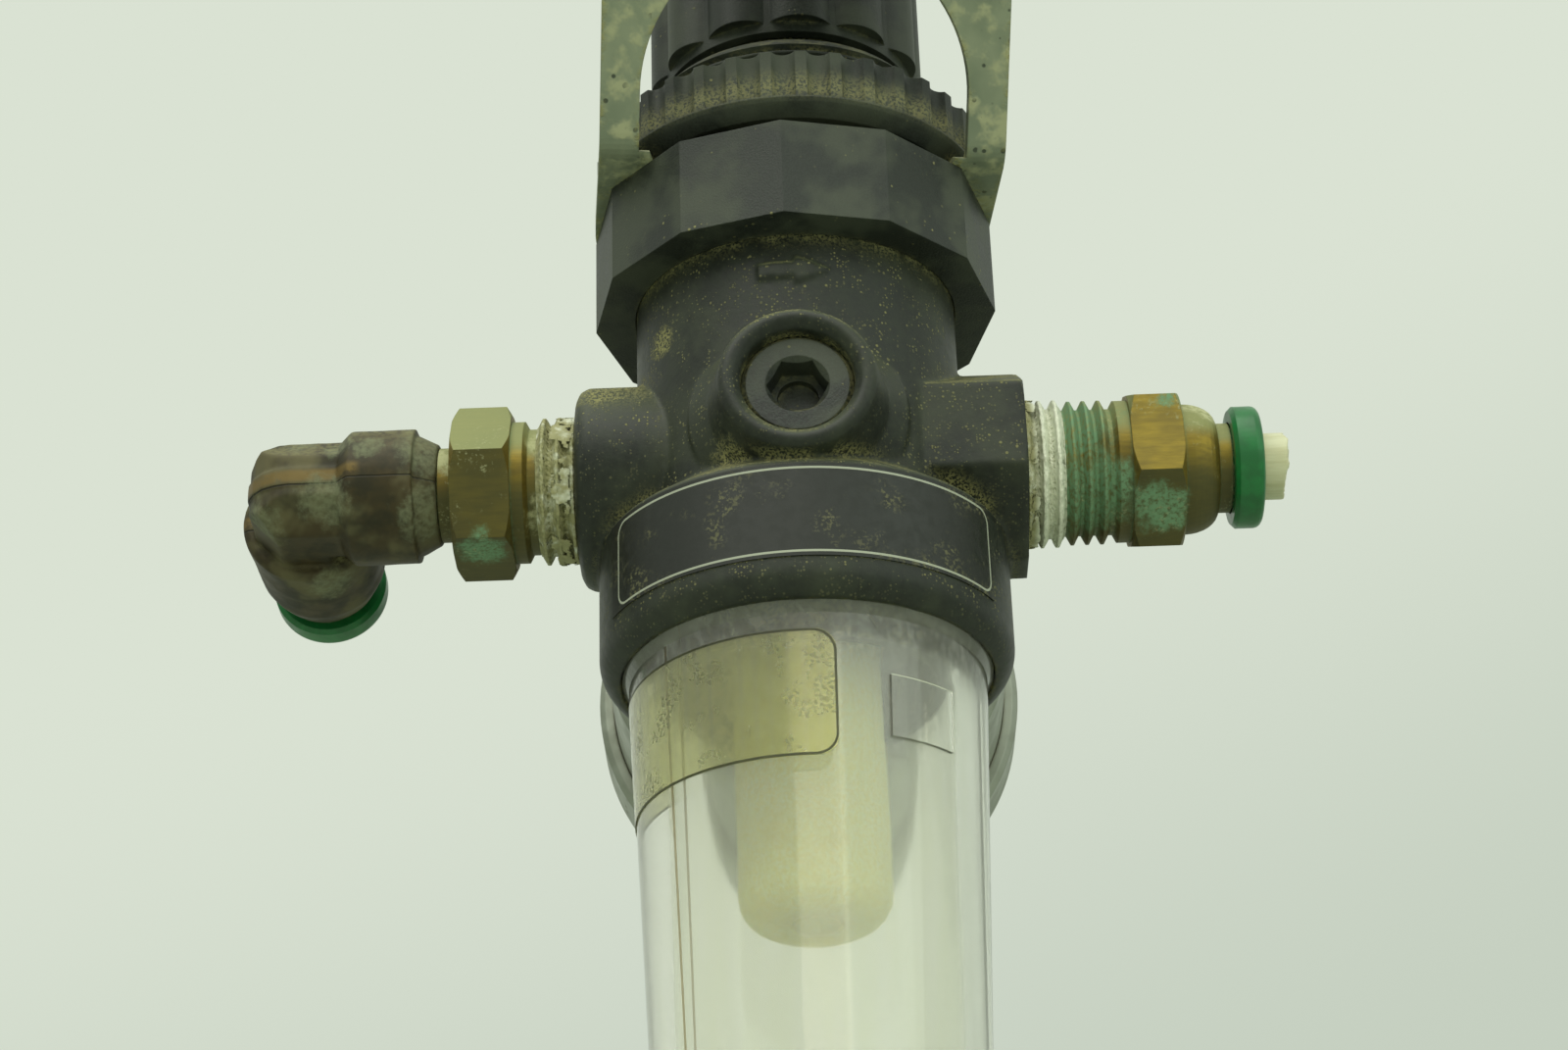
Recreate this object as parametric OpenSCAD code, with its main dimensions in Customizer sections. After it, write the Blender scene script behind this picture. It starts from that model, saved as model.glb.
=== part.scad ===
// Miniature compressed-air filter regulator with a neck bracket, a rear gauge and two push-in tube fittings.
// Millimetres. +Z runs up the main axis and +X is the direction of flow.
// The origin is the mouth of the drain outlet, on the main axis.

/* [Body] */
// Diameter of the upper barrel
barrel_d = 31; // [30:0.5:34]
// Height of the barrel's rim above the port axis
barrel_top = 24; // [22:0.5:28]
// Wall of the chamber under the diaphragm
barrel_wall = 3.1; // [2.6:0.1:3.4]
// Height of the chamber's floor above the port axis
chamber_floor = 13; // [12:0.5:15]
// Drop from the port axis to the top edge of the bowl collar
collar_drop = 7.8; // [7.4:0.2:9]
// Height of the bowl collar
collar_h = 13.4; // [12.6:0.2:16]
// Wall of the bowl collar
collar_wall = 2; // [1.7:0.1:3]
// Radius of the rounding at the collar's lower edge
collar_lip_r = 2.6; // [1:0.1:2.8]
// Distance between the two port faces
port_span = 42; // [41:0.5:48]
// Diameter of the round inlet boss
inlet_boss_d = 19.4; // [18:0.2:21]
// Distance across the flats of the outlet boss
outlet_boss_af = 20.8; // [19:0.2:22]
// Diameter of the face of each gauge boss
side_boss_d = 14.4; // [13:0.2:16]
// Distance from the main axis to the face of each gauge boss
side_reach = 20.2; // [19.6:0.2:24]
// Diameter of a gauge boss where it leaves the barrel
side_root_d = 20.4; // [17:0.2:22]
// Diameter of the bore for the valve guide
valve_bore_d = 13.2; // [12.6:0.2:14]
// Height of the raised flow arrow and of the pad on the bowl
emboss = 0.35; // [0.2:0.05:0.6]

/* [Bonnet] */
// Diameter over the corners of the twelve-sided skirt
bonnet_d = 39.1; // [38:0.2:44]
// Length of skirt that overlaps the barrel
skirt_grip = 6; // [4:0.2:8]
// Thickness of the skirt's roof
skirt_roof = 2.5; // [2:0.1:4]
// Diameter of the threaded neck
neck_d = 30; // [29:0.2:33]
// Pitch of the thread on the neck
neck_pitch = 1.5; // [1:0.25:2]
// Height of the neck above the skirt
neck_h = 13.7; // [12:0.1:18]
// Height of the turret above the neck
turret_h = 14.5; // [13:0.5:18]
// Wall of the turret
turret_wall = 1.8; // [1.5:0.1:2.4]
// Angle that the twelve-sided skirt has been screwed round to
bonnet_turn = -2.2; // [-15:0.1:15]

/* [Knob] */
// Number of lobes round the knob
knob_lobes = 12; // [8:1:14]
// Diameter of each lobe
lobe_d = 7.6; // [5:0.2:8.4]
// How far the lobes stand out from the knob's wall
lobe_rise = 1.1; // [0.7:0.1:1.8]
// Wall of the knob's skirt
knob_wall = 1.1; // [0.9:0.1:2]
// Height of the knob
knob_h = 25.5; // [25:0.5:32]
// Thickness of the knob's roof
knob_roof = 3; // [2:0.1:4]
// Height of the plain ring below the lobes
knob_ring_h = 1.2; // [0.8:0.1:3]
// Gap under the knob when it is pulled up to turn
knob_gap = 1.7; // [1.5:0.1:3]
// Travel from the unlocked to the locked position
lock_travel = 1.4; // [0.8:0.1:1.4]
// Number of lock teeth
lock_teeth = 24; // [12:4:24]
// Height of each lock tooth
lock_tooth_h = 1.4; // [0.8:0.1:1.4]

/* [Adjusting screw and range spring] */
// Diameter of the adjusting screw
screw_d = 6; // [5:0.5:7]
// Distance across the flats of the screw's drive head
drive_af = 9; // [8:0.5:11]
// Thickness of the spring rest nut
rest_t = 3.6; // [3:0.2:4]
// Diameter of the range spring's wire
spring_wire = 2; // [1.4:0.1:2.2]
// Outside diameter of the range spring
spring_d = 16.8; // [16:0.2:17.4]
// Number of turns in the range spring
spring_turns = 6; // [4:0.5:7]

/* [Panel nut] */
// Diameter over the ribs
nut_d = 38.6; // [37:0.2:44]
// Height of the nut
nut_h = 6.5; // [5:0.1:9]
// Number of ribs
nut_ribs = 36; // [24:1:40]
// Depth of the hollows between the ribs
nut_hollow = 0.7; // [0.3:0.05:0.9]
// Height of the closed rim below the hollows
nut_rim = 1.2; // [0.8:0.1:2]

/* [Bracket] */
// Thickness of the steel
plate_t = 1.6; // [1.2:0.1:2]
// Width of the bracket
bracket_w = 39; // [38:0.5:44]
// Distance from the main axis to the lower bend
bend_reach = 13.6; // [12:0.2:15]
// Slope of the legs above the horizontal
leg_angle = 51.5; // [45:0.5:60]
// Radius on the inside of each bend
bend_r = 2; // [1.5:0.1:3]
// Radius of the arched window, half the gap between the legs
window_r = 15.75; // [15.2:0.05:16.5]
// Distance up the slope from the lower bend to the arch's centre
window_rise = 5.7; // [4:0.1:6]
// Distance from the main axis to the wall
wall_reach = 28.5; // [28:0.5:34]
// Height of the flat plate against the wall
wall_plate_h = 24; // [20:0.5:34]
// Distance between the two wall holes
wall_hole_gap = 22; // [18:0.5:26]
// Diameter of each wall hole
wall_hole_d = 5.5; // [4.5:0.1:6.5]
// Angle that the bracket has been clamped at, round the neck
bracket_turn = 5.7; // [-8:0.1:8]

/* [Bowl] */
// Outside diameter of the bowl below the collar
bowl_d = 33; // [32:0.2:36]
// Wall of the bowl
bowl_wall = 1.9; // [1.4:0.1:2.2]
// Length of the bowl from the collar to the dome
bowl_len = 45; // [40:1:70]
// Draft of the bowl's side
bowl_draft = 2.5; // [1:0.1:2.8]
// Depth of the dome at the bottom
dome_h = 9; // [8:0.5:12]
// Thickness of the bowl's floor round the drain
bowl_floor = 2.6; // [2:0.1:3.4]
// Lead of the bowl's thread, its drop in one turn
bowl_lead = 3; // [2:0.5:4]
// Height of the film stuck on the bowl
film_h = 11.8; // [8:0.2:16]

/* [Drain] */
// Diameter of the drain's shank
drain_d = 6.4; // [5.6:0.2:7]
// Diameter of the drain outlet's bore
drain_bore_d = 3; // [2:0.2:3.4]
// Diameter of the tap ring
tap_d = 10.4; // [9.6:0.2:13]
// Height of the tap ring
tap_h = 4; // [3:0.2:6]
// Distance across the flats of the drain's nut
drain_nut_af = 11; // [10:0.2:13]
// Height of the drain's nut
drain_nut_h = 3; // [2.4:0.2:5]
// Length of the outlet spout below the tap ring
spout_len = 3.8; // [3:0.2:8]

/* [Filter and valve] */
// Outside diameter of the filter element
element_d = 14; // [13:0.2:17]
// Wall of the filter element
element_wall = 2.6; // [2:0.1:3]
// Length of the filter element
element_len = 28.7; // [27:0.1:34]
// Outside diameter of the deflector
deflector_d = 26; // [24:0.2:26.2]
// Height of the deflector
deflector_h = 8; // [6:0.2:9]
// Number of vanes on the deflector
deflector_vanes = 16; // [8:1:20]
// Diameter of the valve seat
seat_d = 6.8; // [5:0.2:7.4]
// Travel of the poppet
valve_lift = 0.8; // [0.4:0.1:1]
// Diameter of the poppet's stem
stem_d = 2.2; // [1.6:0.1:2.6]
// Diameter of the valve spring's wire
valve_wire = 0.6; // [0.4:0.1:0.8]
// Thickness of the diaphragm
diaphragm_t = 0.8; // [0.6:0.1:1.2]
// Thickness of the slip ring
slip_ring_t = 1; // [0.6:0.1:1.6]

/* [Gauge] */
// Diameter of the gauge's case
case_d = 42; // [39:0.5:44]
// Depth of the case behind the bezel
case_depth = 17; // [14:0.5:20]
// How far the bezel stands out round the case
bezel_rise = 1.6; // [1.5:0.1:4]
// Depth of the bezel
bezel_depth = 8; // [5.4:0.2:9]
// Gap between the gauge boss and the back of the case
gauge_gap = 11.8; // [11:0.2:16]
// Distance across the flats of the gauge's wrench flats
gauge_af = 11; // [10:0.2:13]
// Diameter of the gauge thread
gauge_thread_d = 10.3; // [9.8:0.1:10.6]
// Number of teeth on the pointer's pinion
pinion_teeth = 12; // [12:1:14]
// Teeth of the full wheel that the sector is cut from
sector_teeth = 96; // [88:4:100]
// Module of the movement's teeth
gear_module = 0.25; // [0.22:0.01:0.26]

/* [Tube fittings] */
// Diameter of the pipe thread's crests
thread_d = 13.7; // [13:0.1:14]
// Pitch of the pipe thread
thread_pitch = 1.411; // [1.2:0.001:1.6]
// Length of pipe thread inside each port
thread_grip = 6; // [5:0.2:6]
// Distance across the flats of each hexagon
hex_af = 14.3; // [14:0.1:16]
// Outside diameter of the tube
tube_d = 6.35; // [6:0.05:6.35]
// Bore of the tube
tube_bore_d = 4.3; // [3.6:0.1:4.6]
// Length of the cut tube that stands out of its fitting
tube_stub_len = 2.7; // [1:0.1:30]
// Outlet fitting: length from the port face to the hexagon
outlet_shank = 10; // [8.5:0.1:12]
// Outlet fitting: length of the hexagon
outlet_hex_len = 4.9; // [4.6:0.1:8]
// Outlet fitting: angle that the hexagon has been screwed round to
outlet_hex_turn = -2; // [-30:1:30]
// Inlet fitting: length from the port face to the hexagon
inlet_shank = 6.2; // [5.8:0.1:9]
// Inlet fitting: length of the hexagon
inlet_hex_len = 5.6; // [5:0.1:8]
// Inlet fitting: angle that the hexagon has been screwed round to
inlet_hex_turn = -28; // [-30:1:30]
// Length of thread that is wrapped in sealing tape
tape_len = 3.8; // [2:0.1:4.6]
// Thickness of the sealing tape
tape_t = 0.16; // [0.1:0.02:0.3]
// Elbow: length of the round swivel end
elbow_swivel_len = 7.1; // [6.6:0.1:9]
// Elbow: diameter of the round swivel end
elbow_swivel_d = 12.8; // [12.4:0.1:14]
// Elbow: distance across the flats of the forged bar
elbow_bar_af = 10.1; // [9.7:0.1:11.4]
// Elbow: diameter of the leg that takes the tube
elbow_leg_d = 12.9; // [12:0.1:13.6]
// Elbow: distance from the flow axis to the tube leg's mouth
elbow_reach = 17; // [16:0.2:20]
// Diameter of the release ring's flange
ring_d = 11.6; // [11:0.1:12.6]
// Diameter of the flange of the elbow's own release ring
elbow_ring_d = 11.2; // [10.8:0.1:12.6]
// Thickness of the release ring's flange
ring_t = 2.8; // [2.6:0.1:4]
// Travel of the release ring when it is pushed in
ring_travel = 1; // [0.5:0.1:1]

/* [Clearances] */
// Radial gap of a shaft that turns or slides in a bore
run_gap = 0.05; // [0.02:0.01:0.09]
// Gap between faces that slide or stop near each other
slide_gap = 0.1; // [0.05:0.05:0.2]
// Gap left beside a seal, where the real one is squeezed
seal_gap = 0.01; // [0.01:0.01:0.03]
// Gap between moving pieces that don't guide each other
free_gap = 0.3; // [0.2:0.05:0.4]

/* [Hidden] */
$fn = 64;

// Length added to a cutting tool so that it passes clear through a face
over = 1;
// Narrow chamfer on turned and moulded edges
chamfer = 0.5;

// Body: radii and heights, measured from the main axis and from the port axis
barrel_r = barrel_d / 2;
chamber_r = barrel_r - barrel_wall;
port_half = port_span / 2;
outlet_side_half = 0.21 * outlet_boss_af;
outlet_top_half = 0.096 * outlet_boss_af;
outlet_top = 0.482 * outlet_boss_af;
collar_top = -collar_drop;
collar_foot = collar_top - collar_h;
bowl_thread_h = 0.6;
collar_bore_r = bowl_d / 2 + bowl_thread_h + slide_gap;
collar_r = collar_bore_r + collar_wall;
collar_shoulder_h = 2.2;
collar_lip_angle = 65;
collar_lip_h = collar_lip_r * sin(collar_lip_angle);
collar_top_r = 0.8;
bowl_roof = collar_top - 1.4;
valve_bore_r = valve_bore_d / 2;
valve_boss_r = valve_bore_r + 1.7;
valve_boss_foot = bowl_roof - 4.2;
seat_lip_h = 0.7;
seat_lip_w = 0.8;
seat_z = chamber_floor - 5;
port_bore_r = thread_d / 2 + run_gap;
port_bore_len = thread_grip + 0.6;
passage_r = 3.3;
riser_r = 2.1;
riser_x = valve_bore_r + 3.1;
drop_x = valve_boss_r + riser_r + 0.3;
annulus_in_r = valve_boss_r;
annulus_out_r = drop_x + riser_r + 0.3;
annulus_roof = -5.4;
side_bore_r = gauge_thread_d / 2 + run_gap;
side_thread_len = 6.4;
side_root_y = 12.6;
side_passage_r = 1.9;
side_riser_r = 1.5;
side_mouth_h = 0.8;
plug_recess = 1.6;
plug_key_af = 4.9;
plug_key_floor = 1.6;
plug_key_mouth_r = 2.95;
plug_centre_r = 1.9;
arrow_len = 6.6;
arrow_h = 2.7;
arrow_tail_h = 1.45;
arrow_head_len = 3.1;
arrow_z = 14.1;
label_t = 0.12;
label_inset = 1;
label_from = -65;
label_to = 62;

// Bonnet and what it clamps
skirt_foot = barrel_top - skirt_grip;
shoulder_z = barrel_top + diaphragm_t + slip_ring_t;
skirt_top = shoulder_z + skirt_roof;
shoulder_bore_r = chamber_r + 0.2;
neck_r = neck_d / 2;
neck_top = skirt_top + neck_h;
neck_chamfer = 1.4;
turret_bore_r = spring_d / 2 + 0.9;
turret_r = turret_bore_r + turret_wall;
turret_top = neck_top + turret_h;
turret_roof_t = 2.5;
bore_step_z = shoulder_z + 4.2;
lock_rise = 0.4;
lock_z = neck_top + 4;
ear_w = 3;
ear_h = 0.9;
slot_depth = ear_h + slide_gap;
vent_r = 0.8;

// Knob
knob_bore_r = turret_r + lock_rise + slide_gap;
knob_r = knob_bore_r + knob_wall;
knob_foot = neck_top + knob_gap;
knob_top = knob_foot + knob_h;
drive_foot = turret_top + slide_gap;
hub_foot = turret_top + slide_gap + lock_travel + free_gap;
drive_top = knob_top - knob_roof - lock_travel - free_gap;
hub_r = drive_af / 2 + 2.4;
lobe_turn = 7;

// Adjusting screw, spring rest nut and range spring
screw_r = screw_d / 2;
screw_collar_r = screw_r + 2.2;
screw_collar_t = 1.5;
screw_collar_top = turret_top - turret_roof_t - slide_gap;
rest_r = turret_bore_r - 2 * slide_gap;
rest_top = screw_collar_top - screw_collar_t - 0.8;
rest_foot = rest_top - rest_t;
screw_foot = bore_step_z;
plate_foot = barrel_top + diaphragm_t;
pressure_plate_t = 1.2;
pressure_plate_r = min(chamber_r - 2.5, spring_d / 2 + 1.5);
spring_touch = 0.03;
range_spring_foot = plate_foot + pressure_plate_t + spring_touch;
range_spring_top = rest_foot - spring_touch;
spring_boss_r = spring_d / 2 - spring_wire - 0.8;
spring_boss_h = 1.5;

// Diaphragm and relief hub
hub_pin_r = 2.6;
relief_r = 0.8;
hub_disc_t = 1;
hub_foot_z = barrel_top - hub_disc_t - 0.8;
fold_in = chamber_r - 2.1;
fold_out = chamber_r - 0.1;
fold_drop = 1;

// Valve
seal_t = 1.4;
poppet_top = seat_z - seal_t;
poppet_r = valve_bore_r - 1.8;
poppet_t = 2;
guide_top = -1;
pocket_r = valve_bore_r - 1.7;
pocket_floor = -8.5;
guide_stem_r = 1.2;
guide_stem_len = 4;
tip_r = 0.25;
tip_foot = hub_foot_z - (stem_d / 2 - relief_r) - run_gap;
guide_flange_top = valve_boss_foot - 0.1;
guide_flange_t = 1.6;
stud_r = 3.6;
stud_bore_r = 1.9;
valve_spring_foot = pocket_floor + spring_touch;
valve_spring_top = poppet_top - poppet_t - spring_touch;
valve_spring_r = pocket_r - 0.5;
guide_groove_rise = 2.6;
guide_groove_z = valve_boss_foot + guide_groove_rise;
guide_seal_r = 0.68;
guide_groove_h = 1.6;
guide_groove_depth = 1.4;

// Deflector and filter element
deflector_top = guide_flange_top - guide_flange_t;
deflector_r = deflector_d / 2;
deflector_t = 1.2;
element_top = deflector_top - deflector_t;
element_foot = element_top - element_len;
element_r = element_d / 2;
element_bore_r = element_r - element_wall;
element_round = 2.6;
element_neck = 5;
stud_foot = element_top - 12;
stud_port_rise = 2.4;

// Bowl
bowl_r = bowl_d / 2;
bowl_top = bowl_roof - free_gap;
bowl_neck_h = 2.6;
bowl_land_h = 0.8;
seal_section = 0.95;
bowl_neck_r = collar_bore_r - 2 * (seal_section + seal_gap);
bowl_foot_z = collar_foot - bowl_len;
bowl_bottom = bowl_foot_z - dome_h;
bowl_foot_r = bowl_r - (bowl_len - bowl_land_h) * tan(bowl_draft);
dome_flat_r = 6.2;
dome_steps = 8;
pad_turn = 38;
pad_angle = 24;
pad_top = collar_foot - 6.3;
pad_h = 5.8;
film_t = 0.1;
film_top = collar_foot - 2.4;
film_from = -98;
film_to = 9;
film_corner_r = 2;
film_corner_out = 0.05;

// Drain: stacked below and above the bowl's floor
drain_r = drain_d / 2;
drain_head_r = drain_r + 2.1;
drain_head_t = 2;
drain_seal_t = 1;
drain_nut_foot = bowl_bottom - drain_nut_h;
tap_top = drain_nut_foot - slide_gap;
tap_foot = tap_top - tap_h;
spout_foot = tap_foot - spout_len;
barb_rise = 0.5;
lip_rise = 0.35;
tap_grips = 18;

// The port axis stands this far above the drain outlet's mouth
port_z = -spout_foot;

// Panel nut and bracket
nut_foot = skirt_top + plate_t;
nut_r = nut_d / 2;
nut_bore_r = neck_r + run_gap;
nut_tool_r = 1.3;
nut_foot_r = nut_r - 1.8;
nut_turn = -0.9;
bend_out_r = bend_r + plate_t;
bend_steps = 6;
bracket_bore_r = neck_r + slide_gap;
upper_vertex_z = skirt_top + (wall_reach - bend_reach) * tan(leg_angle);
wall_top = upper_vertex_z + wall_plate_h;
wall_hole_z = upper_vertex_z + wall_plate_h * 0.55;
wall_corner_r = 5;

// Gauge: distances from the main axis towards the back
case_back = side_reach + gauge_gap;
case_front = case_back + case_depth;
bezel_back = case_front - 1.2;
bezel_front = bezel_back + bezel_depth;
case_wall = 1.5;
case_chamfer = 1.4;
case_r = case_d / 2;
case_bore_r = case_r - case_wall;
bezel_r = case_r + bezel_rise;
bezel_lip_r = case_bore_r - 0.4;
bezel_lip_t = 1.4;
window_t = 1.4;
window_front = bezel_front - bezel_lip_t;
window_back = window_front - window_t;
dial_t = 0.5;
dial_front = case_front - 1;
dial_r = case_bore_r - 0.2;
dial_post_r = 1.2;
dial_post_x = case_bore_r - 2.6;
pointer_back = dial_front + 1.1;
pointer_t = 0.5;
pointer_len = dial_r - 4;
pointer_tail = 5.5;
pointer_hub_r = 2;
staff_r = 0.6;
block_r = 4.6;
block_front = case_back + 7.2;
plate_front = block_front + 1;
gear_back = plate_front + 0.4;
gear_t = 0.8;
pinion_r = pinion_teeth * gear_module / 2;
sector_r = sector_teeth * gear_module / 2;
gear_centres = pinion_r + sector_r;
gear_addendum = 0.85;
gear_dedendum = 1.25;
gear_backlash = 0.16;
sector_hub_half = 2.4;
sector_arm_x = 1.2;
sector_arm_half = 2.6;
movement_half_w = 3;
movement_drop = 4;
movement_rise = 3;
pivot_rise = 0.4;
pointer_sweep = 270;
sector_sweep = pointer_sweep * pinion_teeth / sector_teeth;
pivot_r = 0.8;
bourdon_r = case_bore_r - 5.2;
bourdon_w = 1.5;
bourdon_h = 4.6;
bourdon_back = case_back + 2.2;
bourdon_start = 90 + asin(block_r / 2 / (bourdon_r - bourdon_w / 2));
bourdon_sweep = 250;

// Tube sockets: depths from the mouth of a fitting
socket_wall = 0.4;
mouth_bore_r = tube_d / 2 + 0.68;
mouth_r = mouth_bore_r + socket_wall;
mouth_depth = 7;
seal_depth = 9.6;
stop_depth = 10.9;
tube_socket_r = tube_d / 2 + run_gap;
tube_seal_r = 0.6;
tube_groove_r = tube_socket_r + 2 * tube_seal_r;
gripper_depth = 6.4;
gripper_t = 0.5;
sleeve_foot = gripper_depth - gripper_t - ring_travel - slide_gap;
sleeve_r = mouth_bore_r - run_gap;
ring_recess = ring_travel + slide_gap + 0.2;
through_r = 2.2;

// Outlet fitting: distances from the port face
thread_root_drop = 0.85;
hex_chamfer = 0.6;
hex_face_rise = 0.15;
ring_edge = 0.4;
ring_round = 0.7;
outlet_hex_end = outlet_shank + outlet_hex_len;
shoulder_len = 3.5;
shoulder_foot = 0.4;
shoulder_r = 6.2;
neck_len = 1.2;
outlet_mouth = outlet_hex_end + shoulder_len + neck_len;

// Inlet fitting: distances from the port face
inlet_hex_end = inlet_shank + inlet_hex_len;
inlet_neck_r = 4.5;
inlet_neck_len = 1.4;
inlet_neck_end = inlet_hex_end + inlet_neck_len;
spigot_r = 3.6;
spigot_len = 7.4;
stem_seal_r = 0.5;
stem_seal_at = inlet_neck_end + 3;
stem_groove_depth = 2 * stem_seal_r - run_gap + 2 * seal_gap;
elbow_start = inlet_neck_end + slide_gap;
elbow_cone_len = 2.1;
elbow_cone_end = elbow_start + elbow_cone_len;
elbow_swivel_end = elbow_cone_end + elbow_swivel_len;
elbow_arm_len = 3.9;
elbow_axis = elbow_swivel_end + elbow_arm_len;
elbow_bar_half = elbow_bar_af / 2;
elbow_corner_r = 4.6;
elbow_end_r = 4;
elbow_end_out = 0.04;
elbow_sleeve_foot = 3.7;
elbow_sleeve_fall = 0.3;
elbow_taper_h = 3;
elbow_taper_r = 5.1;
flash_foot = -1.05;
flash_top = 0.75;
flash_rise = 0.15;

// Points along a circular arc, with its ends
function arc(cx, cy, r, from, to, steps) =
    [for (i = [0:steps]) let (a = from + (to - from) * i / steps) [cx + r * cos(a), cy + r * sin(a)]];

// Outside radius of the bowl at a height below the collar
function bowl_radius(z) = bowl_r - (collar_foot - bowl_land_h - z) * tan(bowl_draft);

// Outline of a row of ring threads, from its foot up
function thread_outline(foot, length, crest, root, pitch) =
    let (count = floor(length / pitch))
    [for (i = [0:count - 1], p = [[root, 0.1], [crest, 0.42], [crest, 0.58], [root, 0.9]])
        [p[0], foot + (i + p[1]) * pitch]];

// Rings of points round a helix, for a spring's wire
function helix_points(r, wire, foot, top, turns, per_turn, sides) =
    let (n = turns * per_turn, rise = top - foot - wire)
    [for (i = [0:n], k = [0:sides - 1])
        let (turn = i / n, a = 360 * turns * turn, b = 360 * k / sides, c = r + wire / 2 * cos(b))
        [c * cos(a), c * sin(a), foot + wire / 2 + rise * turn + wire / 2 * sin(b)]];

function tube_faces(rings, sides) = concat(
    [[for (k = [0:sides - 1]) k]],
    [for (i = [0:rings - 2], k = [0:sides - 1], half = [0, 1])
        let (k2 = (k + 1) % sides, a = i * sides, b = a + sides)
        half == 0 ? [a + k, b + k, b + k2] : [a + k, b + k2, a + k2]],
    [[for (k = [0:sides - 1]) (rings - 1) * sides + sides - 1 - k]]);

// Frames that the modules are drawn in
module at_port() translate([0, 0, port_z]) children();
module along_flow() rotate([0, 90, 0]) children();
module against_flow() rotate([0, -90, 0]) children();
module to_front() rotate([90, 0, 0]) children();
module to_back() rotate([-90, 0, 0]) children();

module ring(outer, inner, foot, top) translate([0, 0, foot]) difference() {
    cylinder(r = outer, h = top - foot);
    translate([0, 0, -over]) cylinder(r = inner, h = top - foot + 2 * over);
}

module round_bar(r, foot, top) translate([0, 0, foot]) cylinder(r = r, h = top - foot);

module o_ring(r, section, z) translate([0, 0, z]) rotate_extrude() translate([r, 0]) circle(r = section, $fn = 24);

module turned(outline) rotate_extrude() polygon(outline);

module spring(r, wire, foot, top, turns, per_turn, sides)
    polyhedron(points = helix_points(r, wire, foot, top, turns, per_turn, sides),
        faces = tube_faces(turns * per_turn + 1, sides));

// Hexagon with its corners turned off at both ends
module hexagon(af, foot, top, turn) intersection() {
    corner = af / 2 / cos(30);
    rotate([0, 0, turn]) translate([0, 0, foot]) cylinder(r = corner, h = top - foot, $fn = 6);
    turned([[0, foot], [af / 2 + hex_face_rise, foot], [corner + 0.1, foot + hex_chamfer],
        [corner + 0.1, top - hex_chamfer], [af / 2 + hex_face_rise, top], [0, top]]);
}

// ---- Body ----

module barrel_and_collar() turned(concat(
    [[0, collar_foot]],
    arc(collar_r - collar_lip_r, collar_foot + collar_lip_h, collar_lip_r, -collar_lip_angle, 0, 5),
    arc(collar_r - collar_top_r, collar_top - collar_top_r, collar_top_r, 0, 65, 3),
    [[barrel_r, collar_top + collar_shoulder_h], [barrel_r, barrel_top], [0, barrel_top]]));

// Section of the outlet boss: x is the height, y is the distance towards the back
module outlet_section() {
    side = outlet_boss_af / 2;
    polygon([[-outlet_side_half, -side], [outlet_side_half, -side], [outlet_top, -outlet_top_half],
        [outlet_top, outlet_top_half], [outlet_side_half, side], [-outlet_side_half, side],
        [-outlet_top, outlet_top_half], [-outlet_top, -outlet_top_half]]);
}

module outlet_boss() along_flow() intersection() {
    linear_extrude(port_half) outlet_section();
    turned([[0, 0], [outlet_boss_af, 0], [outlet_boss_af, port_half - 6],
        [outlet_boss_af / 2 + 0.3, port_half], [0, port_half]]);
}

module inlet_boss() against_flow() turned([[0, 0], [inlet_boss_d / 2, 0], [inlet_boss_d / 2, port_half - 1.2],
    [inlet_boss_d / 2 - 0.4, port_half - 0.4], [inlet_boss_d / 2 - 1.2, port_half], [0, port_half]]);

module side_boss() turned([[0, 0], [side_root_d / 2, 0], [side_root_d / 2, side_root_y],
    [side_root_d / 2 - 1.9, side_root_y + 2.2], [side_boss_d / 2 + 0.4, side_reach - 2.4],
    [side_boss_d / 2, side_reach - chamfer], [side_boss_d / 2 - chamfer, side_reach], [0, side_reach]]);

module arrow_outline() {
    tail = arrow_tail_h / 2;
    neck = arrow_len / 2 - arrow_head_len;
    polygon([[-arrow_len / 2, -tail], [neck, -tail], [neck, -arrow_h / 2], [arrow_len / 2, 0],
        [neck, arrow_h / 2], [neck, tail], [-arrow_len / 2, tail]]);
}

module flow_arrow() intersection() {
    round_bar(barrel_r + emboss, arrow_z - arrow_h, arrow_z + arrow_h);
    translate([0, -barrel_r / 2, arrow_z]) to_front() linear_extrude(barrel_r) arrow_outline();
}

module port_bore(feed_x) {
    translate([0, 0, port_half - port_bore_len]) cylinder(r = port_bore_r, h = port_bore_len + over);
    translate([0, 0, feed_x]) cylinder(r = passage_r, h = port_half - feed_x);
}

module side_port() {
    translate([0, 0, side_reach - side_thread_len]) cylinder(r = side_bore_r, h = side_thread_len + over);
    translate([0, 0, side_reach - side_mouth_h])
        cylinder(r1 = side_bore_r, r2 = side_bore_r + 2 * side_mouth_h, h = 2 * side_mouth_h);
    translate([0, 0, riser_x]) cylinder(r = side_passage_r, h = side_reach - riser_x);
}

module valve_bore() difference() {
    round_bar(valve_bore_r, valve_boss_foot - over, seat_z + seat_lip_h);
    ring(seat_d / 2 + seat_lip_w, seat_d / 2, seat_z, seat_z + seat_lip_h + over);
}

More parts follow.
